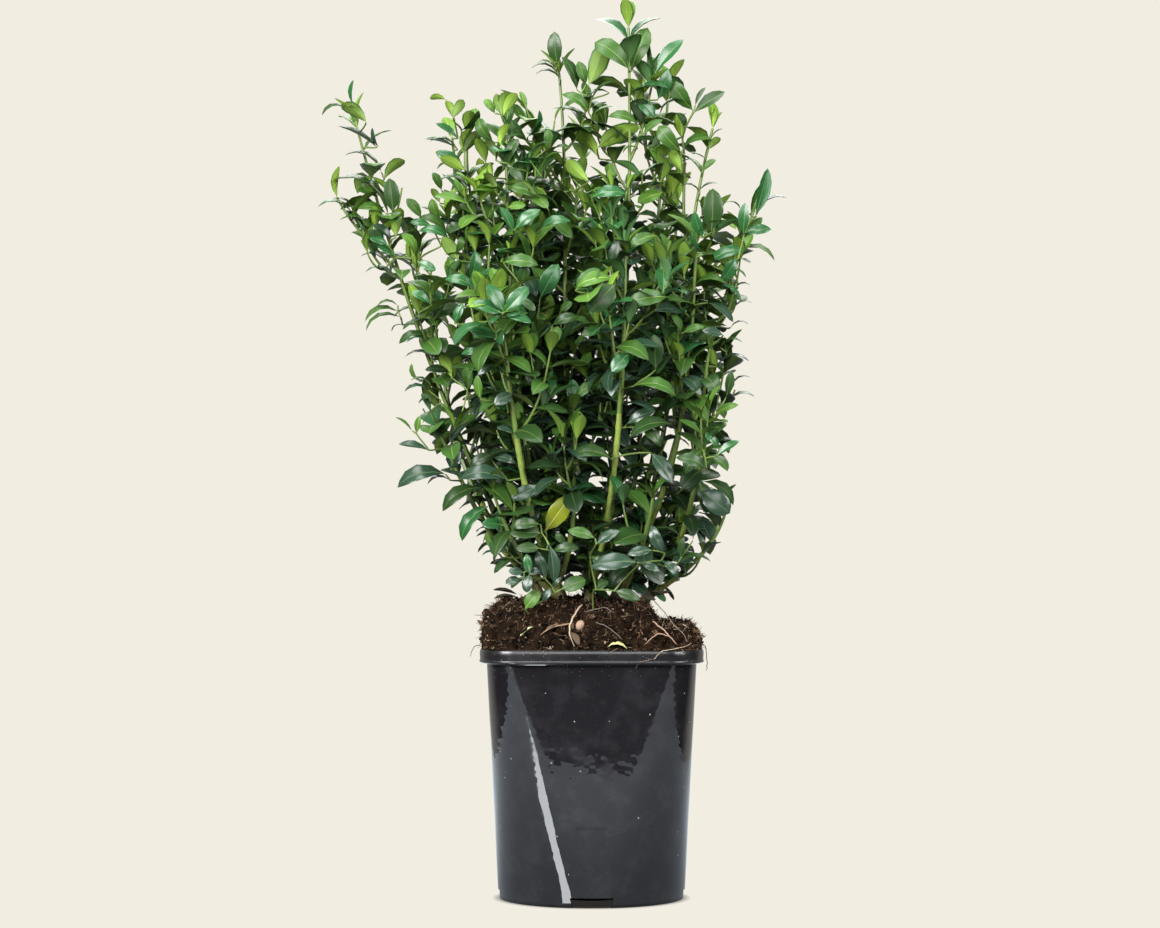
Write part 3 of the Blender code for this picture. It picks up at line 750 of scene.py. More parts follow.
# %% Where the limbs stand
# Places are in millimetres: (x, y) on the soil or (x, y, z). A lean is the run over the
# rise, and bare is the length of the curve that bears no leaves.
Stem = namedtuple("Stem", "name foot lean tip tip_lean bare")
Bough = namedtuple("Bough", "name stem height lean tip tip_lean bare")
STEMS = (
    Stem("left", (-30, -3), (-0.62, 0.00), (-160, -8, 527), (-0.26, 0.0), 76),
    Stem("front_left", (-20, -25), (-0.30, -0.12), (-57, -28, 519), (0.0, 0.05), 66),
    Stem("centre", (-3, -14), (0.22, -0.05), (25, -12, 590), (-0.02, 0.02), 72),
    Stem("right", (17, -2), (0.42, -0.06), (82, -10, 522), (0.26, 0.0), 72),
    Stem("far_right", (34, 8), (0.62, 0.02), (111, 4, 468), (0.45, 0.0), 72),
    Stem("back_left", (-17, 24), (-0.42, 0.16), (-96, 34, 519), (-0.12, 0.0), 70),
    Stem("back_right", (15, 28), (0.22, 0.22), (54, 42, 556), (0.10, 0.0), 70),
    Stem("back", (-2, 38), (-0.05, 0.50), (-6, 100, 522), (0.0, 0.10), 70),
)

BOUGHS = (
    Bough("low_left", "left", 218, (-1.20, -0.35), (-108, -36, 330), (-0.45, -0.1), 46),
    Bough("outer_left", "left", 238, (-1.05, 0.45), (-120, 58, 428), (-0.35, 0.2), 50),
    Bough("inner_left", "front_left", 234, (-0.05, 0.70), (-32, 30, 508), (0.0, 0.0), 50),
    Bough("front_lobe", "front_left", 222, (-0.45, -0.85), (-60, -90, 404), (-0.1, -0.1), 104),
    Bough("low_front", "front_left", 213, (0.60, -1.00), (-12, -66, 330), (0.0, -0.3), 42),
    Bough("inner_centre", "centre", 238, (-0.35, 0.15), (-22, -6, 560), (-0.1, 0.0), 50),
    Bough("front_right", "centre", 210, (0.30, -0.95), (22, -88, 438), (0.0, 0.0), 136),
    Bough("right_lobe", "right", 240, (0.60, -0.60), (70, -60, 452), (0.05, -0.1), 50),
    Bough("low_right", "far_right", 222, (0.80, -0.90), (78, -62, 372), (0.15, -0.2), 46),
    Bough("outer_right", "far_right", 236, (0.60, 0.80), (84, 62, 420), (0.20, 0.2), 50),
    Bough("rear_left", "back_left", 234, (-0.45, 0.80), (-72, 102, 466), (-0.1, 0.2), 48),
    Bough("rear_right", "back_right", 234, (0.50, 0.80), (62, 104, 482), (0.1, 0.2), 48),
    Bough("foot_left", "front_left", 205, (-1.40, -1.00), (-66, -60, 278), (-0.3, -0.3), 32),
    Bough("foot_front", "right", 206, (0.35, -1.40), (40, -78, 272), (0.1, -0.5), 32),
    Bough("foot_right", "far_right", 203, (1.40, -0.60), (90, -28, 262), (0.3, -0.1), 28),
    Bough("foot_back_left", "back_left", 212, (-1.10, 0.90), (-74, 72, 306), (-0.3, 0.3), 34),
    Bough("foot_back_right", "back_right", 212, (1.00, 0.95), (60, 78, 316), (0.3, 0.3), 34),
)

STEM_RADII = (3.0 * MM, 2.4 * MM)
BOUGH_RADII = (2.1 * MM, 1.8 * MM)
FOOT_DEPTH = 5 * MM
FLARE_RADIUS = 4.1 * MM


def at_height(path, height):
    """The point of a path at a height, in millimetres."""
    return [np.interp(height * MM, path[:, 2], path[:, k]) for k in range(3)]


def smooth_path(start, lean, tip, tip_lean):
    """A limb's whole curve. A lean is its run over its rise at that end."""
    start, tip = Vector(start), Vector([v * MM for v in tip])
    handle = (tip - start).length / 3
    first = start + Vector((*lean, 1)).normalized() * handle
    second = tip - Vector((*tip_lean, 1)).normalized() * handle
    return np.array(interpolate_bezier(start, first, second, tip, 40))


def length_of(path):
    return float(np.linalg.norm(np.diff(path, axis=0), axis=1).sum())


def along(path, distance):
    """The point at a distance along the path, and the direction there."""
    steps = np.linalg.norm(np.diff(path, axis=0), axis=1)
    reached = np.concatenate([[0.0], np.cumsum(steps)])
    want = clamped(distance, 0.0, reached[-1])
    point = np.array([np.interp(want, reached, path[:, k]) for k in range(3)])
    i = min(int(np.searchsorted(reached, want, side="right")) - 1, len(steps) - 1)
    return Vector(point), Vector((path[i + 1] - path[i]) / steps[i])


paths = {}
for stem in STEMS:
    x, y = (v * MM for v in stem.foot)
    start = (x, y, soil_level(x, y) - FOOT_DEPTH)
    paths[stem.name] = smooth_path(start, stem.lean, stem.tip, stem.tip_lean)
for bough in BOUGHS:
    start = at_height(paths[bough.stem], bough.height)
    paths[bough.name] = smooth_path(start, bough.lean, bough.tip, bough.tip_lean)
print(len(paths), "limbs, the longest", round(max(map(length_of, paths.values())), 3), "m")


# %% Bark
def bare_limb(path, bare, radii, foot_radius, seed):
    """The limb's points every 3 mm and their radii, swollen at each old pair of leaves."""
    count = max(6, round(bare / (2.5 * MM)))
    places = np.array([along(path, bare * i / count)[0] for i in range(count + 1)])
    sizes = np.linspace(*radii, count + 1)
    distance = np.linspace(0, bare, count + 1)
    sizes += 0.35 * MM * np.maximum(0, np.cos((distance / MM + seed * 3) / 13 * math.tau)) ** 6
    sizes += (foot_radius - radii[0]) * np.exp(-distance / (5 * MM))
    return places, sizes


bark = bmesh.new()
for seed, limb in enumerate(STEMS + BOUGHS):
    is_stem = seed < len(STEMS)
    radii = STEM_RADII if is_stem else BOUGH_RADII
    foot_radius = FLARE_RADIUS if is_stem else radii[0] * 1.35
    places, sizes = bare_limb(paths[limb.name], limb.bare * MM, radii, foot_radius, seed)
    pour(bark, tube(places, sizes, 14))
for vertex in bark.verts:
    ridges = noise.noise(Vector((vertex.co.x * 900, vertex.co.y * 900, vertex.co.z * 160)))
    lumps = noise.noise(vertex.co / (4 * MM))
    vertex.co += Vector((ridges, lumps, 0)) * 0.18 * MM


def build_bark():
    """Brown bark near the soil that turns green higher up, with fine upright streaks."""
    made = new_material("young_bark", (0.20, 0.24, 0.06), 0.6)
    tree = made.node_tree
    place, (_, _, up) = place_on_object(tree)
    stretch = add_node(tree, "Mapping")
    stretch.inputs["Scale"].default_value = (1.0, 1.0, 0.15)
    link(tree, place, stretch.inputs["Vector"])
    streaks = use_group(tree, PATCHES, stretch.outputs[0], Scale=1400.0, Contrast=2.0)
    broad = use_group(tree, PATCHES, place, Scale=120.0, Contrast=2.5)
    brown = mix_colour(tree, streaks, (0.060, 0.034, 0.016), (0.20, 0.125, 0.065))
    green = mix_colour(tree, streaks, (0.135, 0.195, 0.026), (0.28, 0.37, 0.060))
    higher = calc(tree, "ADD", map_value(tree, up, 0.196, 0.236, 0.0, 1.0), -0.25)
    ragged = calc(tree, "MULTIPLY_ADD", broad, 0.5, higher, clamp=True)
    feed(made, "Base Color", mix_colour(tree, ragged, brown, green))
    feed(made, "Normal", bump(tree, streaks, 0.5, 0.0004))
    return made


limb_nodes = [n for n in NODES if n.startswith(("stem_", "bough_"))]
finish_piece("bark", bark, [build_bark()], limb_nodes)

# %% [markdown]
# ## Leaves
# A boxwood leaf is a small pointed oval, leathery and glossy above, paler and duller
# below, with a pale rib and a margin that is rolled under. It springs up along its twig,
# then bends over, most of all near its tip. It is made once from two small grids with
# strips for rib, blades and margins. They share their outline, so the leaf is a closed
# thin shell. The kinds differ in outline, width and bend.

# %% One leaf
STATIONS = (0.0, 0.08, 0.27, 0.50, 0.72, 0.89, 1.0)
LEAF_THICKNESS = 0.016
RIB_HALF_WIDTH = 0.013
MARGIN = 0.80
LeafKind = namedtuple("LeafKind", "outline width bend root_fold tip_fold curl")
LEAF_KINDS = {
    "mature": LeafKind((0, 0.15, 0.74, 1.00, 0.84, 0.48, 0), 0.50, 62, 24, 4, 34),
    "arched": LeafKind((0, 0.14, 0.70, 1.00, 0.84, 0.42, 0), 0.46, 104, 30, 2, 28),
    "broad": LeafKind((0, 0.16, 0.78, 1.00, 0.88, 0.56, 0), 0.56, 34, 22, 8, 30),
    "round": LeafKind((0, 0.20, 0.84, 1.00, 0.90, 0.62, 0), 0.72, 32, 20, 4, 30),
    "young": LeafKind((0, 0.14, 0.62, 0.97, 0.94, 0.56, 0), 0.52, 58, 30, 8, 18),
    "cup": LeafKind((0, 0.14, 0.60, 0.93, 1.00, 0.68, 0), 0.54, 92, 26, 2, 20),
    "shoot": LeafKind((0, 0.14, 0.64, 1.00, 0.88, 0.50, 0), 0.44, 26, 36, 14, 14),
    "bud": LeafKind((0, 0.20, 0.70, 1.00, 0.88, 0.50, 0), 0.38, 14, 42, 30, 4),
}


def rib_line(kind):
    """The place and slope of the rib at each station: its bend grows towards the tip."""
    line = [(0.0, 0.0, 0.0)]
    for before, after in zip(STATIONS, STATIONS[1:]):
        middle = math.radians(kind.bend) * ((before + after) / 2) ** 1.4
        x = line[-1][0] + (after - before) * math.cos(middle)
        z = line[-1][1] - (after - before) * math.sin(middle)
        line.append((x, z, math.radians(kind.bend) * after**1.4))
    return line


def leaf_point(kind, line, station, across, below):
    """A point of a leaf one metre long along +X, with its upper face towards +Z."""
    along_rib, drop, turned = line[station]
    half = kind.outline[station] * kind.width / 2
    share = STATIONS[station]
    fold = math.radians(kind.root_fold + (kind.tip_fold - kind.root_fold) * share)
    roll = fold - math.radians(kind.curl)
    inner = min(abs(across), MARGIN) * half
    outer = max(abs(across) - MARGIN, 0.0) * half
    y = math.copysign(inner * math.cos(fold) + outer * math.cos(roll), across)
    lift = inner * math.sin(fold) + outer * math.sin(roll)
    if below and abs(across) < 1 and half > 0:
        lift -= LEAF_THICKNESS
    return Vector((along_rib + lift * math.sin(turned), y, drop + lift * math.cos(turned)))


def leaf_side(kind, below):
    """One face of the leaf: a grid with a row for each station and five strips."""
    side = bmesh.new()
    rows = len(STATIONS) - 1
    line = rib_line(kind)
    bmesh.ops.create_grid(side, x_segments=rows, y_segments=5, size=0.5)
    for face in side.faces:
        strip = round(abs(face.calc_center_median().y) * 5)
        face.material_index = (1, 2 if below else 0, 0)[strip]
    for vertex in side.verts:
        station = round((vertex.co.x + 0.5) * rows)
        column = round((vertex.co.y + 0.5) * 5)
        half = max(kind.outline[station] * kind.width / 2, 1e-6)
        rib = min(RIB_HALF_WIDTH * (1.25 - STATIONS[station]) / half, 0.4)
        across = (-1, -MARGIN, -rib, rib, MARGIN, 1)[column]
        vertex.co = leaf_point(kind, line, station, across, below)
    if below:
        bmesh.ops.reverse_faces(side, faces=side.faces)
    return side


def leaf_mesh(kind):
    bm = leaf_side(kind, below=False)
    pour(bm, leaf_side(kind, below=True))
    bmesh.ops.remove_doubles(bm, verts=bm.verts, dist=1e-5)
    return mesh_of(bm)


LEAVES = {name: leaf_mesh(kind) for name, kind in LEAF_KINDS.items()}
print({name: len(mesh.polygons) for name, mesh in LEAVES.items()}, "faces a leaf")

# %% [markdown]
# ### Leaf colours
# New growth is yellow-green, grown leaves are deep green, and those low in the shrub
# are grey-blue, partly their own colour and partly painted sheen. Some sprays are a
# cooler, emerald green than others. Each tone has three plain colours: above, rib and
# below. The colour below is paler, partly the leaf's own underside and partly painted
# light shining through the leaf. Tones go out to whole sprays at a time, because that
# is how they lie on the shrub. Old leaves and sprays deep inside the crown are darker,
# partly by age and partly as painted shade, down to a near-black inner tone.

# %% Tones
Tone = namedtuple("Tone", "above rib below roughness gloss")
TONES = {
    # Each tone's below colour is paler than above: partly the leaf's own underside, partly painted light
    # shining through the leaf.
    "fresh": Tone((0.110, 0.210, 0.020), (0.32, 0.44, 0.10), (0.215, 0.345, 0.040), 0.40, 0.22),
    "bright": Tone((0.060, 0.140, 0.018), (0.22, 0.32, 0.06), (0.160, 0.265, 0.032), 0.38, 0.22),
    "green": Tone((0.034, 0.088, 0.014), (0.13, 0.20, 0.04), (0.100, 0.170, 0.024), 0.36, 0.25),
    "deep": Tone((0.019, 0.050, 0.011), (0.080, 0.125, 0.028), (0.062, 0.098, 0.017), 0.34, 0.30),
    "dark": Tone((0.010, 0.026, 0.008), (0.045, 0.075, 0.020), (0.034, 0.056, 0.012), 0.34, 0.30),
    # The inner tone is near black: painted shade for leaves deep inside the crown.
    "inner": Tone((0.005, 0.012, 0.004), (0.020, 0.033, 0.010), (0.014, 0.024, 0.006), 0.45, 0.25),
    "emerald": Tone((0.019, 0.088, 0.024), (0.10, 0.20, 0.06), (0.075, 0.170, 0.050), 0.27, 0.40),
    # This grey-blue tone is partly the leaves' own colour and partly painted sheen.
    "bloom_and_sheen": Tone((0.018, 0.043, 0.023), (0.07, 0.115, 0.05), (0.055, 0.095, 0.040), 0.27, 0.42),
    "yellow": Tone((0.160, 0.190, 0.008), (0.34, 0.36, 0.06), (0.24, 0.27, 0.03), 0.36, 0.25),
}
TONE_STEPS = ("fresh", "bright", "green", "deep", "dark", "inner")
COOL_TONES = {"bright": "emerald", "green": "emerald", "deep": "bloom_and_sheen", "dark": "bloom_and_sheen"}


def tone_materials(name, tone):
    above = new_material(f"leaf_{name}_above", tone.above, tone.roughness,
                         Specular_IOR_Level=tone.gloss)
    rib = new_material(f"leaf_{name}_rib", tone.rib, 0.5, Specular_IOR_Level=0.3)
    below = new_material(f"leaf_{name}_below", tone.below, 0.6, Specular_IOR_Level=0.25)
    return [above, rib, below]


# %% [markdown]
# ### How the shrub grows
# The rule is the solid model's own, carried on to finer twigs. A mass has one axis.
# Twigs leave it a golden angle apart, turn upwards and get shorter towards the tip.
# Leaves stand on axis and twig in opposite pairs, each pair square to the last one. A
# leaf that would stray from the shrub's outline, or lie in another leaf, is left out.

# %% Rules of growth
GOLDEN_ANGLE = math.radians(137.5)
TWIG_SPACING = 24 * MM
TWIG_LENGTHS = (84 * MM, 62 * MM, 24 * MM)
TWIG_SPREAD = math.radians(46)
TWIG_UPTURN = 0.22
TWIG_SCALES = (0.80, 1.0)
SIDE_SHOOT_FROM = 40 * MM
PAIR_SPACING = 17.5 * MM
LEAF_LENGTHS = (26 * MM, 34 * MM)
LEAF_APART = 6.0 * MM
PLACED_APART = 8 * MM
AXIS_RADII = (1.9 * MM, 0.9 * MM)
TWIG_RADII = (1.0 * MM, 0.6 * MM)
LONG_BARE = 90 * MM
OPENNESS = {"left": 1.35, "back_left": 0.72, "inner_left": 0.72, "front_left": 0.8, "centre": 0.85,
            "right_lobe": 1.15, "low_right": 1.2, "right": 1.2, "far_right": 1.3,
            "outer_right": 1.5, "rear_right": 1.1, "outer_left": 1.4, "rear_left": 1.1,
            "low_left": 1.2, "back": 0.85}
Leaf = namedtuple("Leaf", "place kind tone")
Spray = namedtuple("Spray", "step cool")

REACH_HEIGHTS = (195, 216, 243, 270, 284, 325, 352, 379, 406, 434, 474, 501, 529, 556, 583, 618)
REACH = {
    "left": (-68, -70, -84, -92, -98, -116, -116, -120, -140, -150, -176, -174, -178, -172,
             -44, -10),
    "right": (66, 66, 86, 94, 98, 98, 96, 98, 106, 110, 124, 112, 90, 80, 64, 44),
    "front": (-76, -88, -104, -112, -116, -124, -128, -130, -132, -130, -122, -108, -90, -60,
              -40, -30),
    "back": (76, 84, 98, 108, 112, 120, 126, 132, 138, 142, 144, 144, 140, 110, 60, 40),
}
OPENINGS = ((-118, 517, 14, 48), (-33, 549, 15, 16), (27, 508, 10, 12), (17, 544, 7, 7),
            (99, 508, 20, 31), (69, 481, 9, 14), (-114, 487, 15, 10), (-105, 446, 9, 15),
            (26, 425, 6, 9), (60, 309, 8, 7), (44, 264, 6, 7), (-16, 489, 9, 7),
            (-81, 393, 7, 4), (-72, 269, 8, 6), (-92, 325, 6, 4), (-88, 284, 7, 4))
samples = {}
for limb in STEMS + BOUGHS:
    path = paths[limb.name]
    span = np.linspace(limb.bare * MM, length_of(path), 24)
    samples[limb.name] = np.array([along(path, d)[0] for d in span])
    if limb.bare * MM > LONG_BARE:
        span = np.linspace(0, limb.bare * MM, 24)
        samples["bare_" + limb.name] = np.array([along(path, d)[0] for d in span])
leaves, twigs = [], []
taken = {}
placed_middles = []


def crowded(middle):
    """Whether another leaf's middle is too near. It notes the new one if not."""
    cell = tuple(int(c // LEAF_APART) for c in middle)
    for x in (-1, 0, 1):
        for y in (-1, 0, 1):
            for z in (-1, 0, 1):
                for other in taken.get((cell[0] + x, cell[1] + y, cell[2] + z), ()):
                    if (middle - other).length < LEAF_APART:
                        return True
    taken.setdefault(cell, []).append(middle)
    return False


def at_home(point, own, margin=9 * MM):
    """Whether a point is about as near to its own mass's axis as to any other's."""
    if own is None:
        return True
    spot = np.array(point)
    mine = np.linalg.norm(samples[own] - spot, axis=1).min() - margin
    return all(np.linalg.norm(line - spot, axis=1).min() > mine
               for name, line in samples.items() if name != own)


def in_opening(x, z):
    """Whether a point is in one of the clefts between the lobes, in millimetres."""
    return any(((x - px) / width)**2 + ((z - pz) / height)**2 < 1
               for px, pz, width, height in OPENINGS)


def in_reach(point):
    """Whether a point is above the soil, in the shrub's width there and in no cleft."""
    x, y, z = (c / MM for c in point)
    if in_opening(x, z):
        return False
    left, right, front, back = (np.interp(z, REACH_HEIGHTS, side) for side in REACH.values())
    inside = left < x < right and front < y < back and z < REACH_HEIGHTS[-1]
    return inside and point[2] > soil_level(point[0], point[1]) + 2 * MM


def side_of(direction, angle):
    """A direction square to a twig, turned round it by an angle."""
    reference = direction.orthogonal() if abs(direction.z) > 0.999 else Vector((0, 0, 1))
    return Matrix.Rotation(angle, 3, direction) @ direction.cross(reference).normalized()


def mixed(low, high, share):
    return low + (high - low) * share


# %% A leaf in its place
def set_leaf(root, ahead, upward, length, width=1.0):
    """The matrix of a leaf from its root, the way it points and the way its face looks."""
    ahead = ahead.normalized()
    face = (upward - upward.project(ahead)).normalized()
    turned = Matrix((ahead, face.cross(ahead), face)).transposed().to_4x4()
    size = Matrix.Diagonal((length, length * width, length, 1.0))
    return Matrix.Translation(root) @ turned @ size


def leaf_place(point, direction, side, spread, length, roll, level=0.35, width=1.0):
    """Sets a leaf on a twig, its upper face towards the twig's tip and the sky."""
    ahead = direction * math.cos(spread) + side * math.sin(spread)
    upward = Matrix.Rotation(roll, 3, ahead) @ direction.lerp(Vector((0, 0, 1)), level)
    return set_leaf(point, ahead, upward, length, width)


def spray_at(point, rng):
    """How deep a spray's tone is, from 0 for fresh to 4 for dark and on to the inner tone, and if it is
    cool.
    """
    height = clamped((point[2] - 0.23) / 0.34)
    outward = math.hypot(point[0], point[1] * 1.15) / (0.03 + 0.26 * point[2])
    # Sprays low and deep inside the crown step darker: partly older growth, partly painted shade of the
    # crown's inside.
    step = 4.5 - 2.6 * height - 1.3 * outward + rng.uniform(-0.6, 0.6)
    return Spray(step, rng.random() < mixed(0.55, 0.12, height))


def tone_name(step, cool, rng):
    name = TONE_STEPS[round(clamped(step, 0, len(TONE_STEPS) - 1))]
    if cool and rng.random() < 0.75:
        name = COOL_TONES.get(name, name)
    return name


def add_leaf(place, kind, tone, own):
    middle = place @ Vector((0.5, 0, 0))
    tip = place @ Vector((0.85, 0, -0.3))
    if in_reach(tip) and in_reach(middle) and at_home(middle, own) and not crowded(middle):
        leaves.append(Leaf(place, kind, tone))


def leaf_kinds(near_tip, height):
    if near_tip > 0.5:
        return ("shoot", "cup", "young", "young")
    if height > 0.55:
        return ("cup", "young", "arched", "mature")
    if height > 0.12:
        return ("arched", "arched", "mature", "mature", "broad")
    return ("arched", "mature", "broad", "round")


def grow_leaves(path, first, own, rng, spray, scale=1.0, kinds=None):
    """Pairs of leaves from a distance along the path to its tip."""
    length = length_of(path)
    distance = first
    turn = rng.uniform(0, math.tau)
    while distance < length - 4 * MM:
        near_tip = max(0.0, 1 - (length - distance) / (40 * MM))
        age_and_shade = 1 - distance / length
        point, direction = along(path, distance)
        height = clamped((point.z - 0.25) / 0.30)
        size = rng.uniform(*LEAF_LENGTHS) * scale
        spread = math.radians(mixed(66, 50, height) - 16 * near_tip)
        turn += math.pi / 2 + rng.uniform(-0.15, 0.15)
        for face in (0, math.pi):
            side = side_of(direction, turn + face + rng.uniform(-0.2, 0.2))
            place = leaf_place(point, direction, side, spread + rng.uniform(-0.22, 0.22),
                               size * rng.uniform(0.85, 1.08), rng.uniform(-0.5, 0.5),
                               mixed(0.6, 0.3, height), rng.uniform(0.90, 1.15))
            # Leaves low on their twig step darker, partly by age and partly as painted shade inside the
            # crown.
            step = spray.step + 1.3 * age_and_shade - 1.0 * near_tip + rng.uniform(-0.4, 0.4)
            kind = rng.choice(kinds or leaf_kinds(near_tip, height))
            add_leaf(place, kind, tone_name(step, spray.cool, rng), own)
        distance += PAIR_SPACING * rng.uniform(0.85, 1.15) * (1 - 0.40 * near_tip) * scale
    grow_tip(path, turn, rng, spray, scale)


def grow_tip(path, turn, rng, spray, scale):
    """The two upright leaves at a tip, round a bud of two small ones."""
    tip, direction = along(path, length_of(path))
    for size, spread, kind in ((rng.uniform(21, 26), 0.46, "shoot"),
                               (rng.uniform(11, 15), 0.26, "bud")):
        turn += math.pi / 2
        for face in (0, math.pi):
            side = side_of(direction, turn + face)
            place = leaf_place(tip - direction * 0.5 * MM, direction, side,
                               spread * rng.uniform(0.5, 1.3), size * MM * scale, 0.0)
            middle = place @ Vector((0.5, 0, 0))
            free = all((middle - other).length > PLACED_APART for other in placed_middles)
            if free and in_reach(place @ Vector((1, 0, 0))):
                tone = tone_name(min(spray.step - 1.1, 3), spray.cool, rng)
                leaves.append(Leaf(place, kind, tone))


# %% Twigs and masses
def grow_twig(root, heading, length):
    points = [root]
    for step in range(8):
        points.append(points[-1] + heading * length / 8)
        heading = (heading + Vector((0, 0, TWIG_UPTURN))).normalized()
    return np.array(points)


def turned_off(heading, turn, spread):
    """A heading that leaves another one to a side, by an angle."""
    return heading * math.cos(spread) + side_of(heading, turn) * math.sin(spread)


def grow_shoot(root, heading, length, own, rng, order=1):
    """A twig with its leaves, as far as it has room, and two side shoots on a long one."""
    twig = grow_twig(root, heading, length)
    kept = next((i for i in range(2, 9)
                 if not (in_reach(twig[i]) and at_home(twig[i], own, 4 * MM))), 9)
    if kept < 4:
        return
    twig = twig[:kept]
    twigs.append((twig, np.linspace(*TWIG_RADII, len(twig))))
    grow_leaves(twig, 8 * MM, own, rng, spray_at(twig[-1], rng), rng.uniform(*TWIG_SCALES))
    length = length_of(twig)
    if order == 1 and length > SIDE_SHOOT_FROM:
        turn = rng.uniform(0, math.tau)
        for share in (0.30, 0.55):
            point, direction = along(twig, share * length)
            turn += GOLDEN_ANGLE
            aside = turned_off(direction, turn, rng.uniform(0.6, 0.9))
            grow_shoot(point, aside, length * rng.uniform(0.40, 0.55), own, rng, 2)


def grow_mass(limb, seed):
    """All the twigs and leaves of one mass."""
    rng = random.Random(seed)
    spacing = TWIG_SPACING * OPENNESS.get(limb.name, 1.0)
    path = paths[limb.name]
    bare = limb.bare * MM
    length = length_of(path)
    grown = length - bare
    axis = np.array([along(path, d)[0] for d in np.linspace(bare, length, 16)])
    twigs.append((axis, np.linspace(*AXIS_RADII, 16)))
    grow_leaves(axis, 5 * MM, limb.name, rng, spray_at(axis[12], rng))
    turn = rng.uniform(0, math.tau)
    for number in range(round(grown * 0.86 / spacing)):
        share = 0.02 + number * spacing / grown
        turn += GOLDEN_ANGLE
        root, heading = along(axis, share * grown)
        heading = turned_off(heading, turn, TWIG_SPREAD * rng.uniform(0.8, 1.15))
        size = min(np.interp(share, (0, 0.5, 1), TWIG_LENGTHS), 0.6 * grown)
        grow_shoot(root, heading, size * rng.uniform(0.7, 1.1), limb.name, rng)


# %% [markdown]
# ### Leaders
# A few side shoots have grown as tall as the limb that they leave. They are listed, with
# leaves by the same rule.

# %% Leaders
Leader = namedtuple("Leader", "limb height lean tip")
LEADERS = (
    Leader("back_left", 430, (0.3, -0.5), (-84, 6, 518)),
    Leader("left", 425, (-1.0, -0.1), (-172, -18, 475)),
    Leader("inner_left", 440, (-0.5, -0.3), (-72, 4, 500)),
    Leader("centre", 500, (0.5, 0.2), (42, -2, 556)),
    Leader("right", 440, (-0.3, 0.3), (62, 4, 516)),
    Leader("inner_centre", 470, (-0.6, -0.3), (-44, -24, 534)),
)


def grow_leader(leader, seed):
    rng = random.Random(seed)
    tip_lean = [share / 2 for share in leader.lean]
    start = at_height(paths[leader.limb], leader.height)
    path = smooth_path(start, leader.lean, leader.tip, tip_lean)
    twigs.append((path, np.linspace(1.3 * MM, 0.8 * MM, len(path))))
    grow_leaves(path, 10 * MM, None, rng, spray_at(path[-1], rng))


# %% [markdown]
# ### Growth at the foot
# A young shrub has not lost its lowest leaves. Short shoots with small round leaves
# spring from the feet of the stems on all sides and hide most of the bare wood. The two
# long bare boughs in front bear single pairs of leaves, one to each side.

# %% Shoots at the foot and pairs on bare wood
FOOT_SCALE = 0.56
FOOT_KINDS = ("round", "broad", "round", "mature")
FOOT_SHOOTS = 8
BareLeaf = namedtuple("BareLeaf", "off level spread length roll step cool kinds")
FOOT_LEAF = BareLeaf(2, 0.6, (0.7, 1.2), (19, 27), (-0.4, 0.4), (2.8, 4.4), 0.5,
                     ("mature", "broad", "arched"))
SIDE_LEAF = BareLeaf(1.5, 0.8, (1.0, 1.35), (27, 33), (-0.3, 0.3), (2.0, 3.6), 0.4,
                     ("arched", "arched", "mature"))


def grow_bare_leaf(rule, point, direction, side, rng):
    """One leaf that stands on bare wood."""
    spread, length, roll = (rng.uniform(*ends) for ends in rule[2:5])
    root = point + side * rule.off * MM
    place = leaf_place(root, direction, side, spread, length * MM, roll, rule.level)
    tone = tone_name(rng.uniform(*rule.step), rng.random() < rule.cool, rng)
    add_leaf(place, rng.choice(rule.kinds), tone, None)


def grow_foot(stem, seed):
    """Short shoots round the stem's foot, then pairs of leaves up its bare wood."""
    rng = random.Random(seed)
    path = paths[stem.name]
    outward = math.atan2(stem.foot[1], stem.foot[0])
    turn = rng.uniform(0, math.tau)
    for number in range(FOOT_SHOOTS):
        turn += GOLDEN_ANGLE
        root, _ = along(path, (9 + 7 * number) * MM)
        aim = outward + math.radians(rng.uniform(-85, 85))
        heading = Vector((math.cos(aim), math.sin(aim), rng.uniform(0.25, 1.0))).normalized()
        twig = grow_twig(root, heading, rng.uniform(24, 46) * MM)
        twigs.append((twig, np.linspace(*TWIG_RADII, len(twig)) * 0.9))
        spray = Spray(rng.uniform(1.6, 3.4), rng.random() < 0.55)
        grow_leaves(twig, 6 * MM, None, rng, spray, FOOT_SCALE, FOOT_KINDS)
    for distance in range(24, stem.bare, 11):
        point, direction = along(path, distance * MM)
        turn += math.pi / 2
        for face in (0, math.pi):
            grow_bare_leaf(FOOT_LEAF, point, direction, side_of(direction, turn + face), rng)


def grow_side_pairs(limb, seed):
    """Pairs that stand to the left and right of a long bare bough."""
    rng = random.Random(seed)
    for distance in range(34, limb.bare, 15):
        point, direction = along(paths[limb.name], distance * MM)
        for face in (-1, 1):
            side = Vector((face, rng.uniform(-0.2, 0.5), 0))
            side = (side - side.project(direction)).normalized()
            grow_bare_leaf(SIDE_LEAF, point, direction, side, rng)
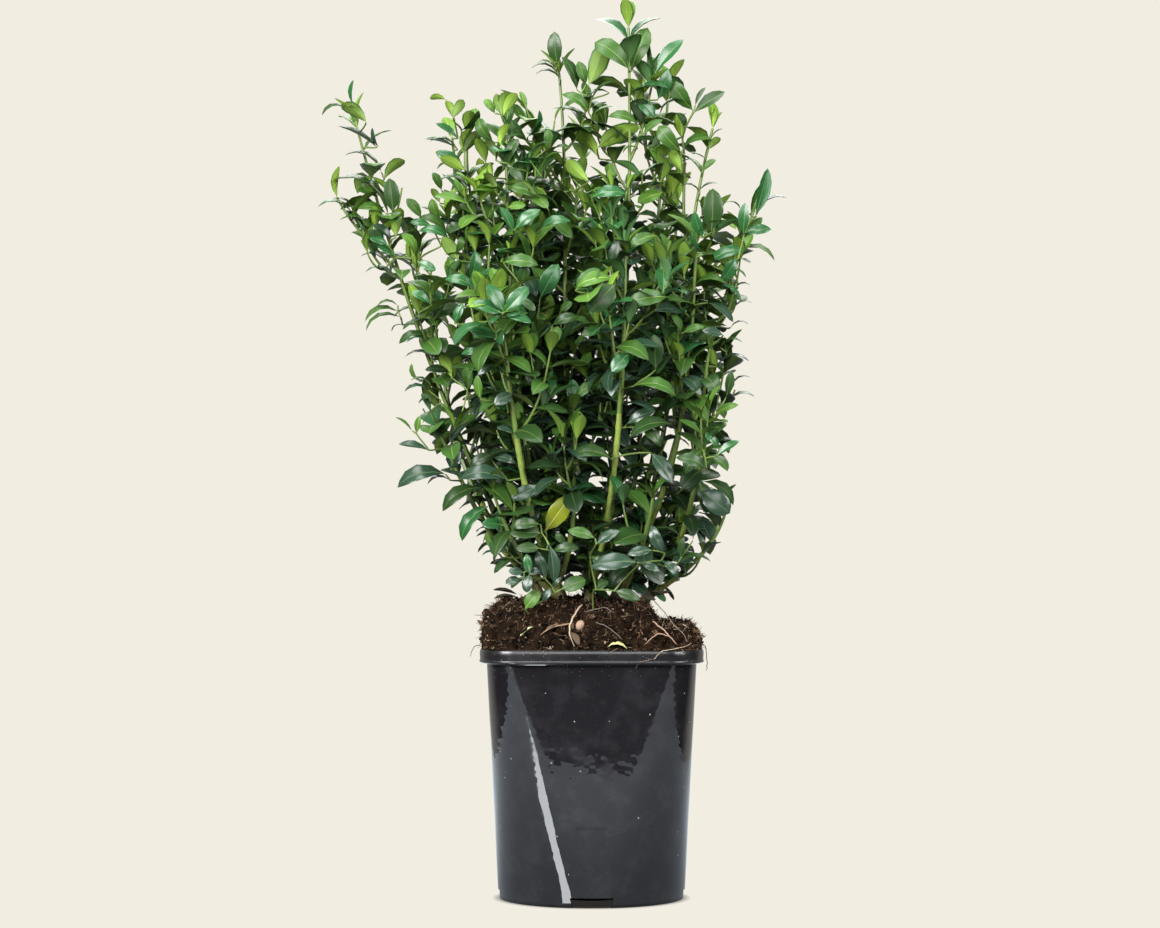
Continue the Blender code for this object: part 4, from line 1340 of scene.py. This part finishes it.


# %% [markdown]
# ### Leaves in their places
# The rule fills the shrub out, but some leaves give its face its look: the pairs that
# crown each lobe, the emerald rosette on the front bough, the yellow leaf low down. They
# are listed by tone. A pick says where the leaf's root and tip show in the front
# view, in pixels, and which way its face turns: to the front, up, back, left or right. They
# are picked by hand, by tone. A pick says where the leaf's root and tip show in the front
# view, in pixels, and which way its face turns: to the front, up, back, left or right.
# Some say how deep the leaf stands, in millimetres. The shrub is grown once by rule alone
# to give each other pick its depth, just in front of the leaves there. Then the shrub is
# grown again round these leaves, and a stalk joins each to the nearest wood below it.

# %% Listed leaves
FACING = {"f": (0, -1, 0.35), "u": (0, -0.3, 1), "b": (0, 0.9, 0.5), "l": (-0.7, -0.6, 0.4),
          "r": (0.7, -0.6, 0.4)}
Pick = namedtuple("Pick", "kind face root_column root_row tip_column tip_row depth",
                  defaults=(None,))
# Each leaf's tone is its own colour moved to match how bright it shows in the front view: deeper for leaves
# in full light, lighter for leaves in shade. So the tones here also hold painted light and shade.
PICKED = {
    "emerald": (
        ("shoot", "l", 352, 104, 354, 80), ("young", "r", 528, 137, 539, 110),
        ("shoot", "l", 457, 139, 436, 124), ("shoot", "u", 455, 146, 424, 139),
        ("mature", "f", 463, 166, 436, 152), ("shoot", "f", 513, 233, 500, 206),
        ("mature", "f", 515, 229, 540, 210), ("arched", "f", 449, 240, 418, 232),
        ("young", "r", 468, 282, 476, 251), ("arched", "f", 476, 289, 444, 280),
        ("mature", "f", 388, 245, 368, 238), ("broad", "f", 540, 298, 558, 264),
        ("broad", "f", 503, 313, 472, 303, -126), ("broad", "f", 504, 312, 487, 284, -126),
        ("broad", "f", 506, 312, 528, 287, -126), ("round", "f", 505, 315, 521, 312, -124),
        ("mature", "f", 506, 317, 532, 323, -123), ("mature", "f", 503, 316, 489, 325, -123),
        ("broad", "f", 499, 338, 470, 331, -100), ("round", "f", 501, 329, 500, 346, -102),
        ("arched", "f", 491, 357, 461, 355), ("young", "f", 431, 305, 412, 292),
        ("broad", "f", 455, 323, 464, 303), ("arched", "l", 488, 507, 462, 541),
        ("broad", "f", 608, 504, 564, 485), ("round", "f", 629, 354, 612, 372),
        ("arched", "u", 728, 403, 755, 397), ("shoot", "f", 717, 456, 740, 441),
        ("mature", "f", 720, 449, 705, 433), ("shoot", "r", 656, 73, 684, 40),
        ("broad", "f", 658, 99, 669, 70), ("round", "f", 655, 118, 639, 101),
        ("broad", "l", 703, 237, 694, 212), ("mature", "l", 705, 253, 692, 231),
        ("shoot", "f", 743, 236, 745, 202), ("bud", "r", 755, 216, 767, 168),
        ("arched", "f", 592, 198, 626, 194), ("mature", "f", 708, 263, 746, 251),
        ("arched", "r", 716, 287, 741, 301), ("young", "r", 718, 284, 736, 258),
        ("arched", "f", 541, 229, 570, 222), ("round", "f", 501, 525, 482, 524),
        ("mature", "f", 529, 575, 527, 553, -75), ("arched", "u", 352, 212, 317, 207),
        ("arched", "u", 395, 276, 365, 273), ("mature", "f", 396, 258, 376, 246),
        ("arched", "u", 431, 346, 404, 342), ("arched", "u", 733, 310, 752, 303),
        ("mature", "f", 745, 232, 771, 229), ("young", "f", 411, 232, 398, 240),
        ("mature", "f", 430, 226, 410, 222), ("broad", "f", 418, 262, 436, 270),
        ("broad", "u", 494, 202, 518, 188),
    ),
    "green": (
        ("cup", "b", 366, 122, 341, 105), ("cup", "b", 385, 180, 405, 160), ("cup", "b", 453, 117, 464, 99),
        ("cup", "b", 502, 116, 507, 92), ("young", "l", 526, 121, 514, 104),
        ("cup", "l", 493, 142, 479, 118), ("young", "f", 545, 150, 549, 128),
        ("arched", "f", 540, 197, 507, 186), ("arched", "f", 504, 263, 538, 265),
        ("young", "l", 422, 218, 407, 199), ("arched", "l", 447, 232, 418, 217),
        ("cup", "r", 456, 253, 462, 236), ("cup", "b", 475, 302, 471, 278, -92),
        ("young", "f", 467, 391, 466, 366), ("arched", "f", 634, 386, 676, 397),
        ("arched", "f", 601, 384, 575, 400), ("arched", "f", 602, 384, 618, 401),
        ("cup", "f", 628, 70, 594, 43), ("young", "f", 631, 71, 647, 27), ("young", "b", 589, 86, 605, 42),
        ("young", "f", 586, 86, 578, 61), ("young", "l", 693, 111, 671, 81),
        ("cup", "f", 681, 151, 658, 126), ("arched", "r", 684, 149, 711, 139),
        ("arched", "f", 589, 113, 562, 94), ("mature", "u", 592, 117, 614, 107),
        ("arched", "f", 638, 125, 608, 116), ("mature", "f", 643, 135, 663, 120),
        ("arched", "f", 656, 236, 628, 248), ("arched", "f", 668, 297, 626, 304),
        ("mature", "f", 682, 333, 671, 313), ("mature", "f", 683, 333, 704, 327),
        ("broad", "f", 550, 218, 572, 238), ("round", "f", 560, 312, 572, 303),
        ("round", "f", 562, 589, 585, 580, -67), ("mature", "f", 595, 538, 568, 530, -83),
        ("arched", "u", 353, 213, 333, 198), ("arched", "u", 371, 229, 340, 221),
        ("young", "f", 377, 197, 357, 190), ("mature", "r", 377, 198, 374, 180),
        ("arched", "f", 386, 213, 357, 208), ("arched", "u", 400, 317, 366, 331),
        ("arched", "u", 398, 312, 365, 322), ("arched", "u", 398, 306, 377, 307),
        ("arched", "u", 431, 386, 410, 380), ("arched", "u", 720, 348, 743, 343),
        ("arched", "u", 728, 272, 746, 278), ("bud", "r", 751, 215, 762, 184),
        ("young", "r", 748, 228, 763, 218), ("arched", "u", 737, 251, 774, 262),
        ("arched", "u", 741, 210, 724, 204), ("arched", "u", 556, 70, 537, 63),
        ("arched", "u", 572, 178, 560, 186), ("young", "f", 441, 190, 433, 172),
        ("arched", "u", 458, 149, 430, 142), ("broad", "b", 502, 115, 496, 94),
        ("broad", "f", 513, 167, 512, 147), ("arched", "u", 541, 176, 563, 152),
        ("arched", "b", 534, 193, 504, 185), ("young", "b", 440, 203, 431, 189),
        ("broad", "b", 458, 261, 442, 237), ("broad", "f", 575, 291, 599, 269),
        ("young", "r", 703, 172, 716, 160), ("cup", "b", 708, 150, 721, 138),
        ("broad", "u", 706, 158, 689, 152), ("broad", "b", 599, 147, 622, 127),
        ("young", "u", 591, 99, 614, 81), ("arched", "u", 638, 148, 623, 153),
    ),
    "deep": (
        ("arched", "u", 345, 107, 322, 116), ("arched", "u", 382, 172, 344, 155),
        ("broad", "r", 392, 212, 390, 178), ("arched", "u", 389, 215, 333, 180),
        ("young", "r", 461, 130, 479, 111), ("young", "l", 527, 140, 511, 120),
        ("arched", "u", 530, 160, 553, 143), ("cup", "f", 510, 165, 518, 139),
        ("shoot", "l", 467, 190, 452, 172), ("arched", "u", 420, 257, 444, 239),
        ("round", "f", 520, 284, 527, 266), ("broad", "f", 520, 298, 536, 310, -96),
        ("round", "l", 453, 417, 435, 438), ("arched", "u", 462, 416, 423, 423),
        ("arched", "f", 480, 488, 443, 512), ("arched", "r", 703, 482, 734, 505),
        ("arched", "f", 706, 469, 676, 458), ("arched", "f", 672, 424, 629, 438),
        ("arched", "f", 640, 428, 661, 447), ("arched", "f", 618, 437, 584, 433),
        ("arched", "f", 611, 459, 571, 456), ("shoot", "f", 726, 397, 731, 370),
        ("broad", "f", 557, 65, 554, 31), ("mature", "f", 577, 90, 562, 57),
        ("shoot", "l", 656, 71, 650, 43), ("shoot", "r", 694, 113, 725, 92), ("bud", "f", 695, 106, 705, 87),
        ("cup", "f", 685, 131, 677, 113), ("mature", "u", 591, 123, 551, 109),
        ("broad", "f", 711, 233, 713, 189), ("round", "f", 615, 284, 591, 311),
        ("broad", "f", 606, 329, 581, 335), ("broad", "f", 655, 369, 654, 335),
        ("arched", "f", 553, 325, 580, 318), ("mature", "l", 511, 539, 500, 553),
        ("mature", "l", 514, 559, 494, 573), ("broad", "f", 541, 548, 516, 548, -75),
        ("broad", "f", 542, 534, 510, 534, -73), ("arched", "f", 541, 524, 510, 528, -75),
        ("round", "f", 594, 590, 608, 582, -62), ("mature", "f", 615, 591, 641, 600, -73),
        ("arched", "f", 552, 551, 579, 549, -73), ("arched", "u", 675, 567, 711, 562, -60),
        ("shoot", "f", 681, 558, 684, 538, -60), ("arched", "f", 590, 556, 610, 572, -66),
        ("young", "f", 566, 545, 556, 533, -75), ("arched", "r", 362, 219, 368, 235),
        ("arched", "u", 403, 325, 391, 332), ("arched", "f", 426, 335, 399, 344),
        ("arched", "u", 441, 401, 418, 404), ("arched", "u", 558, 74, 531, 68),
        ("arched", "u", 560, 80, 536, 74), ("arched", "u", 563, 192, 553, 200),
        ("cup", "b", 464, 153, 481, 132), ("arched", "u", 455, 166, 437, 170),
        ("arched", "u", 469, 187, 439, 182), ("arched", "u", 496, 160, 522, 135),
        ("cup", "b", 496, 158, 486, 139), ("broad", "f", 524, 183, 509, 168),
        ("cup", "b", 496, 192, 483, 174), ("young", "u", 700, 190, 717, 184),
        ("arched", "u", 699, 193, 681, 186), ("cup", "b", 636, 104, 640, 90),
    ),
    "bloom_and_sheen": (
        ("shoot", "u", 377, 147, 339, 126), ("broad", "l", 379, 147, 373, 127),
        ("arched", "u", 388, 266, 360, 257), ("mature", "f", 496, 363, 477, 376),
        ("round", "f", 512, 393, 494, 404), ("broad", "l", 469, 421, 450, 442),
        ("round", "f", 451, 470, 461, 443), ("arched", "f", 446, 474, 398, 487),
        ("arched", "u", 450, 480, 428, 485), ("arched", "f", 507, 480, 461, 479),
        ("broad", "f", 539, 486, 512, 498), ("arched", "f", 490, 457, 517, 463),
        ("mature", "f", 516, 434, 496, 427), ("shoot", "l", 428, 450, 398, 444),
        ("broad", "f", 651, 453, 672, 483), ("round", "f", 702, 491, 730, 513),
        ("round", "f", 602, 377, 610, 387), ("mature", "f", 626, 424, 656, 411),
        ("mature", "r", 708, 303, 734, 322), ("broad", "f", 724, 335, 702, 331),
        ("arched", "u", 502, 557, 481, 555), ("round", "f", 524, 572, 509, 571, -73),
        ("round", "f", 526, 571, 541, 572, -73), ("round", "f", 529, 574, 527, 592, -75),
        ("mature", "f", 545, 578, 538, 552, -69), ("round", "f", 520, 579, 506, 584, -73),
        ("shoot", "f", 549, 544, 554, 582, -77), ("round", "f", 542, 601, 551, 589, -69),
        ("mature", "f", 553, 588, 562, 577, -65), ("broad", "f", 597, 544, 619, 531, -83),
        ("mature", "f", 638, 563, 590, 567, -87), ("mature", "f", 653, 550, 627, 555, -85),
        ("arched", "f", 665, 553, 651, 525, -79), ("arched", "r", 661, 560, 679, 579, -75),
        ("mature", "f", 641, 564, 660, 571, -77), ("young", "f", 392, 240, 374, 225),
        ("arched", "u", 437, 362, 405, 357), ("arched", "u", 428, 391, 404, 392),
        ("arched", "u", 730, 327, 748, 325), ("arched", "u", 716, 366, 750, 361),
        ("arched", "u", 731, 388, 750, 377), ("arched", "u", 734, 290, 750, 285),
        ("arched", "u", 757, 217, 788, 198), ("round", "r", 739, 258, 751, 263),
        ("arched", "u", 610, 92, 587, 99), ("young", "u", 532, 190, 542, 174),
        ("round", "u", 628, 95, 615, 92), ("arched", "u", 660, 116, 684, 100),
        ("broad", "b", 652, 150, 664, 131),
    ),
    "bright": (
        ("cup", "b", 446, 100, 430, 98), ("cup", "f", 494, 113, 484, 100), ("cup", "b", 462, 151, 471, 130),
        ("round", "f", 508, 208, 525, 205), ("cup", "b", 396, 237, 400, 208),
        ("cup", "f", 415, 258, 402, 233), ("cup", "b", 452, 378, 441, 354), ("cup", "b", 453, 378, 460, 356),
        ("cup", "l", 424, 381, 412, 364), ("shoot", "f", 480, 400, 478, 375),
        ("shoot", "u", 412, 431, 395, 418), ("shoot", "f", 417, 434, 420, 416),
        ("mature", "f", 716, 416, 738, 404), ("cup", "b", 682, 171, 671, 150),
        ("mature", "b", 598, 148, 640, 126), ("cup", "b", 589, 181, 566, 160),
        ("round", "f", 662, 193, 637, 202), ("arched", "f", 613, 279, 576, 288),
        ("broad", "l", 498, 553, 486, 531), ("round", "f", 526, 609, 539, 591, -69),
        ("cup", "f", 376, 196, 364, 176), ("young", "f", 441, 222, 432, 198),
        ("young", "b", 455, 119, 445, 101), ("broad", "b", 465, 170, 439, 157),
        ("cup", "b", 504, 115, 517, 93), ("young", "b", 493, 177, 490, 162),
        ("broad", "f", 525, 188, 549, 208), ("young", "u", 711, 138, 723, 129),
    ),
    "fresh": (
        ("cup", "b", 502, 148, 510, 124), ("cup", "b", 548, 210, 538, 188), ("cup", "b", 599, 158, 563, 131),
    ),
    "dark": (
        ("arched", "f", 495, 455, 470, 468), ("broad", "f", 611, 263, 619, 240),
        ("arched", "u", 692, 541, 707, 529, -60), ("mature", "f", 449, 372, 425, 370),
    ),
    "yellow": (
        ("mature", "f", 545, 531, 572, 494),
    ),
}


# %% The shrub grows, first by rule alone
def grow_shrub():
    """All the growth by rule. It comes out the same each time, as each part is seeded."""
    for seed, limb in enumerate(STEMS + BOUGHS):
        if limb.bare * MM > LONG_BARE:
            grow_side_pairs(limb, 120 + seed)
        grow_mass(limb, 40 + seed)
    for seed, leader in enumerate(LEADERS):
        grow_leader(leader, 150 + seed)
    for seed, stem in enumerate(STEMS):
        grow_foot(stem, 90 + seed)


def shown_at(points):
    """The columns and rows of the front view at which points show."""
    away = points[:, 1] - CAMERA_PLACE[1]
    columns = IMAGE_WIDTH / 2 + FOCAL_PIXELS * (points[:, 0] - CAMERA_PLACE[0]) / away
    rows = IMAGE_HEIGHT / 2 - FOCAL_PIXELS * (points[:, 2] - CAMERA_PLACE[2]) / away
    return np.stack([columns, rows], axis=1)


def point_at(column, row, depth):
    """The point that shows at a column and a row of the front view, to the millimetre."""
    away = depth - CAMERA_PLACE[1]
    x = (column - IMAGE_WIDTH / 2) * away / FOCAL_PIXELS + CAMERA_PLACE[0]
    z = CAMERA_PLACE[2] + (IMAGE_HEIGHT / 2 - row) * away / FOCAL_PIXELS
    return Vector([round(c * 1000) for c in (x, depth, z)]) * MM


grow_shrub()
leaf_points = np.array([leaf.place @ Vector((share, 0, -0.02))
                        for leaf in leaves for share in (0.15, 0.5, 0.85)])
limb_points = np.concatenate([*paths.values()])
leaf_pixels, limb_pixels = shown_at(leaf_points), shown_at(limb_points)
NEAR_PIXELS = 8
BEFORE_LIMB = 6 * MM
BULGE = 6 * MM
ROOT_BEFORE, TIP_BEFORE, BACK_BEFORE = 1 * MM, 4 * MM, 3 * MM


def front_at(column, row):
    """How far forward the shrub comes there: its foremost leaf, or else its limb."""
    apart = ((leaf_pixels - (column, row)) ** 2).sum(axis=1)
    near = leaf_points[apart < NEAR_PIXELS**2, 1]
    if len(near) > 1:
        return near.min()
    apart = ((limb_pixels - (column, row)) ** 2).sum(axis=1)
    return limb_points[np.argsort(apart)[:3], 1].min() - BEFORE_LIMB


def depths_of(pick):
    """The depths of the leaf's root and tip: as picked, or just in front of the rest."""
    if pick.depth is not None:
        return pick.depth * MM, (pick.depth - 2) * MM
    middle = (pick.root_column + pick.tip_column) / 2, (pick.root_row + pick.tip_row) / 2
    ends = front_at(pick.root_column, pick.root_row), front_at(pick.tip_column, pick.tip_row)
    front = min(front_at(*middle), sum(ends) / 2 + BULGE)
    if pick.face == "b":
        return front - BACK_BEFORE, front - BACK_BEFORE
    return front - ROOT_BEFORE, front - TIP_BEFORE


def set_between(kind, root, tip, facing, width=1.0):
    """The matrix of a leaf that reaches from one point to another, bend and all."""
    end_x, end_z, _ = rib_line(LEAF_KINDS[kind])[-1]
    droop = math.atan2(-end_z, end_x)
    span = tip - root
    facing = (facing - facing.project(span)).normalized()
    ahead = span.normalized() * math.cos(droop) + facing * math.sin(droop)
    chord = math.hypot(end_x, end_z)
    return set_leaf(root, ahead, facing, span.length / chord, width * chord)


# %% The picked leaves, and the shrub grown round them
SUCKER_TOP = 212 * MM
SUCKER_REACH = 22 * MM
STALK_RADII = (0.7 * MM, 0.5 * MM)
SHORTEST_STALK = 1.5 * MM
for filled in (leaves, twigs, taken):
    filled.clear()
rng = random.Random(17)
for tone, picks in PICKED.items():
    for pick in (Pick(*row) for row in picks):
        root_depth, tip_depth = depths_of(pick)
        root = point_at(pick.root_column, pick.root_row, root_depth)
        tip = point_at(pick.tip_column, pick.tip_row, tip_depth)
        sideways, upwards = rng.uniform(-0.7, 0.7), rng.uniform(0, 0.5)
        facing = Vector(FACING[pick.face]) + Vector((sideways, 0, upwards))
        place = set_between(pick.kind, root, tip, facing, 0.9)
        leaves.append(Leaf(place, pick.kind, tone))
        placed_middles.append(place @ Vector((0.5, 0, 0)))
        crowded(placed_middles[-1])
picked_leaves = leaves[:]
print(len(picked_leaves), "leaves picked by hand")
grow_shrub()
wood = np.concatenate([*paths.values(), *(path for path, _ in twigs)])
for leaf in sorted(picked_leaves, key=lambda leaf: leaf.place.to_translation().z):
    root = leaf.place.to_translation()
    above = np.maximum(wood[:, 2] - root.z, 0)
    start = Vector(wood[(np.linalg.norm(wood - np.array(root), axis=1) + above).argmin()])
    if root.z < SUCKER_TOP and (root - start).length > SUCKER_REACH:
        start = Vector((root.x * 0.95, root.y * 0.9, 0))
        start.z = soil_level(start.x, start.y) - 3 * MM
    span = root - start
    if span.length > SHORTEST_STALK:
        heading = (span.normalized() + Vector((0, 0, 0.3))).normalized()
        ahead = (leaf.place.to_3x3() @ Vector((1, 0, 0))).normalized()
        arrival = (span.normalized() + ahead * 0.4).normalized()
        stalk = interpolate_bezier(start, start + heading * span.length / 4,
                                   root - arrival * span.length / 4, root, 7)
        twigs.append((np.array(stalk), np.linspace(*STALK_RADII, 7)))
        wood = np.concatenate([wood, twigs[-1][0]])
print(len(leaves), "leaves on", len(twigs), "twigs")

# %% [markdown]
# ### Litter
# A pinkish seed, curled bits of dead leaf in pale yellow and brown, and a few dry dark
# leaves lie on the peat. The leaves are the same meshes as the living ones.

# %% Litter
LITTER_COLOURS = ((0.27, 0.175, 0.115), (0.34, 0.40, 0.18), (0.48, 0.46, 0.20),
                  (0.080, 0.048, 0.026), (0.022, 0.018, 0.008))
LITTER = (
    (1, "shoot", "u", (-38.5, -71.5, 187.5), (-47.5, -72.5, 181.0)),
    (2, "arched", "u", (9.9, -74.5, 173.6), (23.5, -74.5, 172.4)),
    (3, "broad", "u", (-14.0, -72.5, 184.0), (-8.5, -75.5, 175.5)),
    (3, "shoot", "u", (-21.0, -71.5, 189.0), (-31.0, -73.0, 184.0)),
    (4, "bud", "u", (-50.0, -24.0, 207.0), (-66.5, -26.0, 210.0)),
    (4, "bud", "u", (-50.0, -28.0, 205.5), (-65.5, -32.0, 204.5)),
    (4, "bud", "u", (41.0, -30.0, 206.0), (54.5, -30.0, 208.5)),
    (4, "bud", "u", (38.0, -32.0, 209.0), (49.0, -38.0, 206.5)),
    (4, "bud", "l", (33.0, -36.0, 207.0), (43.0, -44.0, 204.0)),
)
litter = bmesh.new()
seed_ball = bmesh.new()
bmesh.ops.create_icosphere(seed_ball, subdivisions=2, radius=1.0)
seed_shape = Matrix.Translation(Vector((-8.0, -70.3, 188.0)) * MM) @ Matrix.Rotation(0.5, 4, "Y")
seed_shape = seed_shape @ Matrix.Diagonal((2.9 * MM, 2.2 * MM, 3.9 * MM, 1))
bmesh.ops.transform(seed_ball, matrix=seed_shape, verts=seed_ball.verts)
pour(litter, seed_ball, 0)
for colour, kind, side, root, tip in LITTER:
    bit = bmesh.new()
    bit.from_mesh(LEAVES[kind])
    place = set_between(kind, Vector(root) * MM, Vector(tip) * MM, Vector(FACING[side]))
    bmesh.ops.transform(bit, matrix=place, verts=bit.verts)
    pour(litter, bit, colour)
litter_materials = [new_material(f"litter_{number}", colour, 0.6)
                    for number, colour in enumerate(LITTER_COLOURS)]
finish_piece("litter", litter, litter_materials, ["soil"])

# %% Leaves by tone, and twigs
foliage_nodes = [n for n in NODES if n.startswith("foliage_")]
for tone in TONES:
    bm = bmesh.new()
    for leaf in leaves:
        if leaf.tone == tone:
            add_copy(bm, LEAVES[leaf.kind], leaf.place)
    if bm.faces:
        finish_piece(f"leaves_{tone}", bm, tone_materials(tone, TONES[tone]),
                     foliage_nodes)
twig_mesh = bmesh.new()
for path, radii in twigs:
    pour(twig_mesh, tube(path, radii, 6))
twig_green = new_material("twig_green", (0.105, 0.165, 0.028), 0.5)
finish_piece("twigs", twig_mesh, [twig_green], foliage_nodes)

# %% [markdown]
# ## Floor and light
# The pot stands on a pale board that glows like the backdrop behind it, so no edge shows
# between the two. The board ends in front of the pot, and the room beyond it is dark: the
# glossy plastic shows that end as a change from grey to black. A long bright lamp lies
# on the board where only reflections meet it, and draws the streak down the pot.

# %% Board
CREAM = (0.887, 0.847, 0.753)
BOARD_LEFT, BOARD_RIGHT = -0.455, 0.425
BOARD_FRONT, BOARD_BACK = -0.61, 1.30
BOARD_CORNER = 0.15
board = bmesh.new()
bmesh.ops.create_grid(board, x_segments=2, y_segments=2, size=1.0)
for vertex in board.verts:
    x = BOARD_LEFT + (vertex.co.x + 1) / 2 * (BOARD_RIGHT - BOARD_LEFT)
    y = BOARD_FRONT + (vertex.co.y + 1) / 2 * (BOARD_BACK - BOARD_FRONT)
    vertex.co = (x, y, 0)
front_corners = [v for v in board.verts if v.co.y < BOARD_FRONT + MM and len(v.link_edges) == 2]
bmesh.ops.bevel(board, geom=front_corners, offset=BOARD_CORNER, segments=8, profile=0.5,
                affect="VERTICES", material=-1)


def stage_piece(name, bm, made):
    piece = put_in_scene(name, mesh_of(bm, name))
    piece.data.materials.append(made)
    return piece


def glowing(name, colour, strength):
    made = new_material(name, (0, 0, 0), 1.0, Specular_IOR_Level=0.0)
    shader_of(made).inputs["Emission Color"].default_value = (*colour, 1.0)
    shader_of(made).inputs["Emission Strength"].default_value = strength
    return made


def board_piece(name, bm, colour, *fades):
    """A glowing board with a painted shadow under the pot. A fade maps the distance (0) or x (1)."""
    made = glowing(name + "_paint", colour, 1.0)
    tree = made.node_tree
    place, (x, _, _) = place_on_object(tree)
    from_middle = add_node(tree, "VectorMath", operation="LENGTH")
    link(tree, place, from_middle.inputs[0])
    measures = (from_middle.outputs["Value"], x)
    # Painted shadow: the glow drops to 3 % in a soft disc under the pot's foot.
    glow = map_value(tree, measures[0], 0.0585, 0.068, 0.03, 1.0)
    for measure, *limits in fades:
        glow = calc(tree, "MULTIPLY", glow, map_value(tree, measures[measure], *limits))
    feed(made, "Emission Strength", glow)
    piece = stage_piece(name, bm, made)
    piece.visible_diffuse = False
    return piece


cool_board = board.copy()
board_piece("board", board, CREAM).visible_glossy = False
cool_board = board_piece("cool_board", cool_board, (0.83, 0.94, 1.03),
                         (0, 0.10, 0.45, 0.48, 1.15), (1, -0.45, 0.45, 1.25, 0.80))
cool_board.visible_camera = False

# %% The lamp that only reflections meet
STREAK_LEFT = ((-23, -66), (-45, -99), (-76, -140), (-117, -191), (-178, -263),
               (-200, -367), (-211, -500))
STREAK_RIGHT = ((-17, -69), (-36, -112), (-65, -166), (-98, -238), (-140, -345),
                (-165, -440), (-210, -501))
streak = bmesh.new()
bmesh.ops.create_grid(streak, x_segments=len(STREAK_LEFT) - 1, y_segments=1, size=0.5)
for vertex in streak.verts:
    station = round((vertex.co.x + 0.5) * (len(STREAK_LEFT) - 1))
    x, y = (STREAK_LEFT if vertex.co.y > 0 else STREAK_RIGHT)[station]
    vertex.co = (x * MM, y * MM, 1 * MM)
lamp = stage_piece("streak_lamp", streak, glowing("lamp_glow", (0.92, 0.97, 1.0), 12.5))
for ray in ("camera", "diffuse", "transmission", "shadow", "volume_scatter"):
    setattr(lamp, "visible_" + ray, False)

# %% World
CEILING = (0.46, 0.48, 0.50)
BACKDROP = (0.62, 0.61, 0.57)
ROOM = (0.012, 0.012, 0.014)
world = bpy.data.worlds.new("studio")
bpy.context.scene.world = world
world.use_nodes = True
tree = world.node_tree
background = tree.nodes["Background"]
rays = add_node(tree, "LightPath")
view = add_node(tree, "SeparateXYZ")
link(tree, add_node(tree, "TexCoord").outputs["Generated"], view.inputs[0])
behind = map_value(tree, view.outputs[1], 0.25, 0.60, 0.0, 1.0)
lit = map_value(tree, view.outputs[2], 0.12, 0.75, 0.0, 1.0)
room = mix_colour(tree, behind, mix_colour(tree, lit, ROOM, CEILING), BACKDROP)
link(tree, mix_colour(tree, rays.outputs["Is Camera Ray"], room, CREAM),
     background.inputs["Color"])
bpy.context.scene.view_settings.view_transform = "Standard"


# %% Lights
Softbox = namedtuple("Softbox", "name place aim width height watts")
for box in (
    Softbox("top_softbox", (-0.30, -0.6, 1.9), (0, 0, 0.35), 1.0, 1.0, 34),
    Softbox("key_softbox", (-1.35, -1.55, 1.05), (0, 0, 0.33), 1.0, 1.0, 84),
    Softbox("right_softbox", (1.45, -1.25, 0.95), (0, 0, 0.33), 0.9, 1.1, 46),
    Softbox("front_softbox", (-0.15, -2.3, 1.1), (0, 0, 0.33), 1.0, 0.8, 22),
    Softbox("back_softbox", (0.1, 1.4, 1.5), (0, 0, 0.4), 1.4, 0.8, 16),
):
    light = bpy.data.lights.new(box.name, "AREA")
    light.shape = "RECTANGLE"
    light.size, light.size_y, light.energy = box.width, box.height, box.watts
    lamp = put_in_scene(box.name, light)
    lamp.location = box.place
    heading = Vector(box.aim) - Vector(box.place)
    lamp.rotation_euler = heading.to_track_quat("-Z", "Y").to_euler()
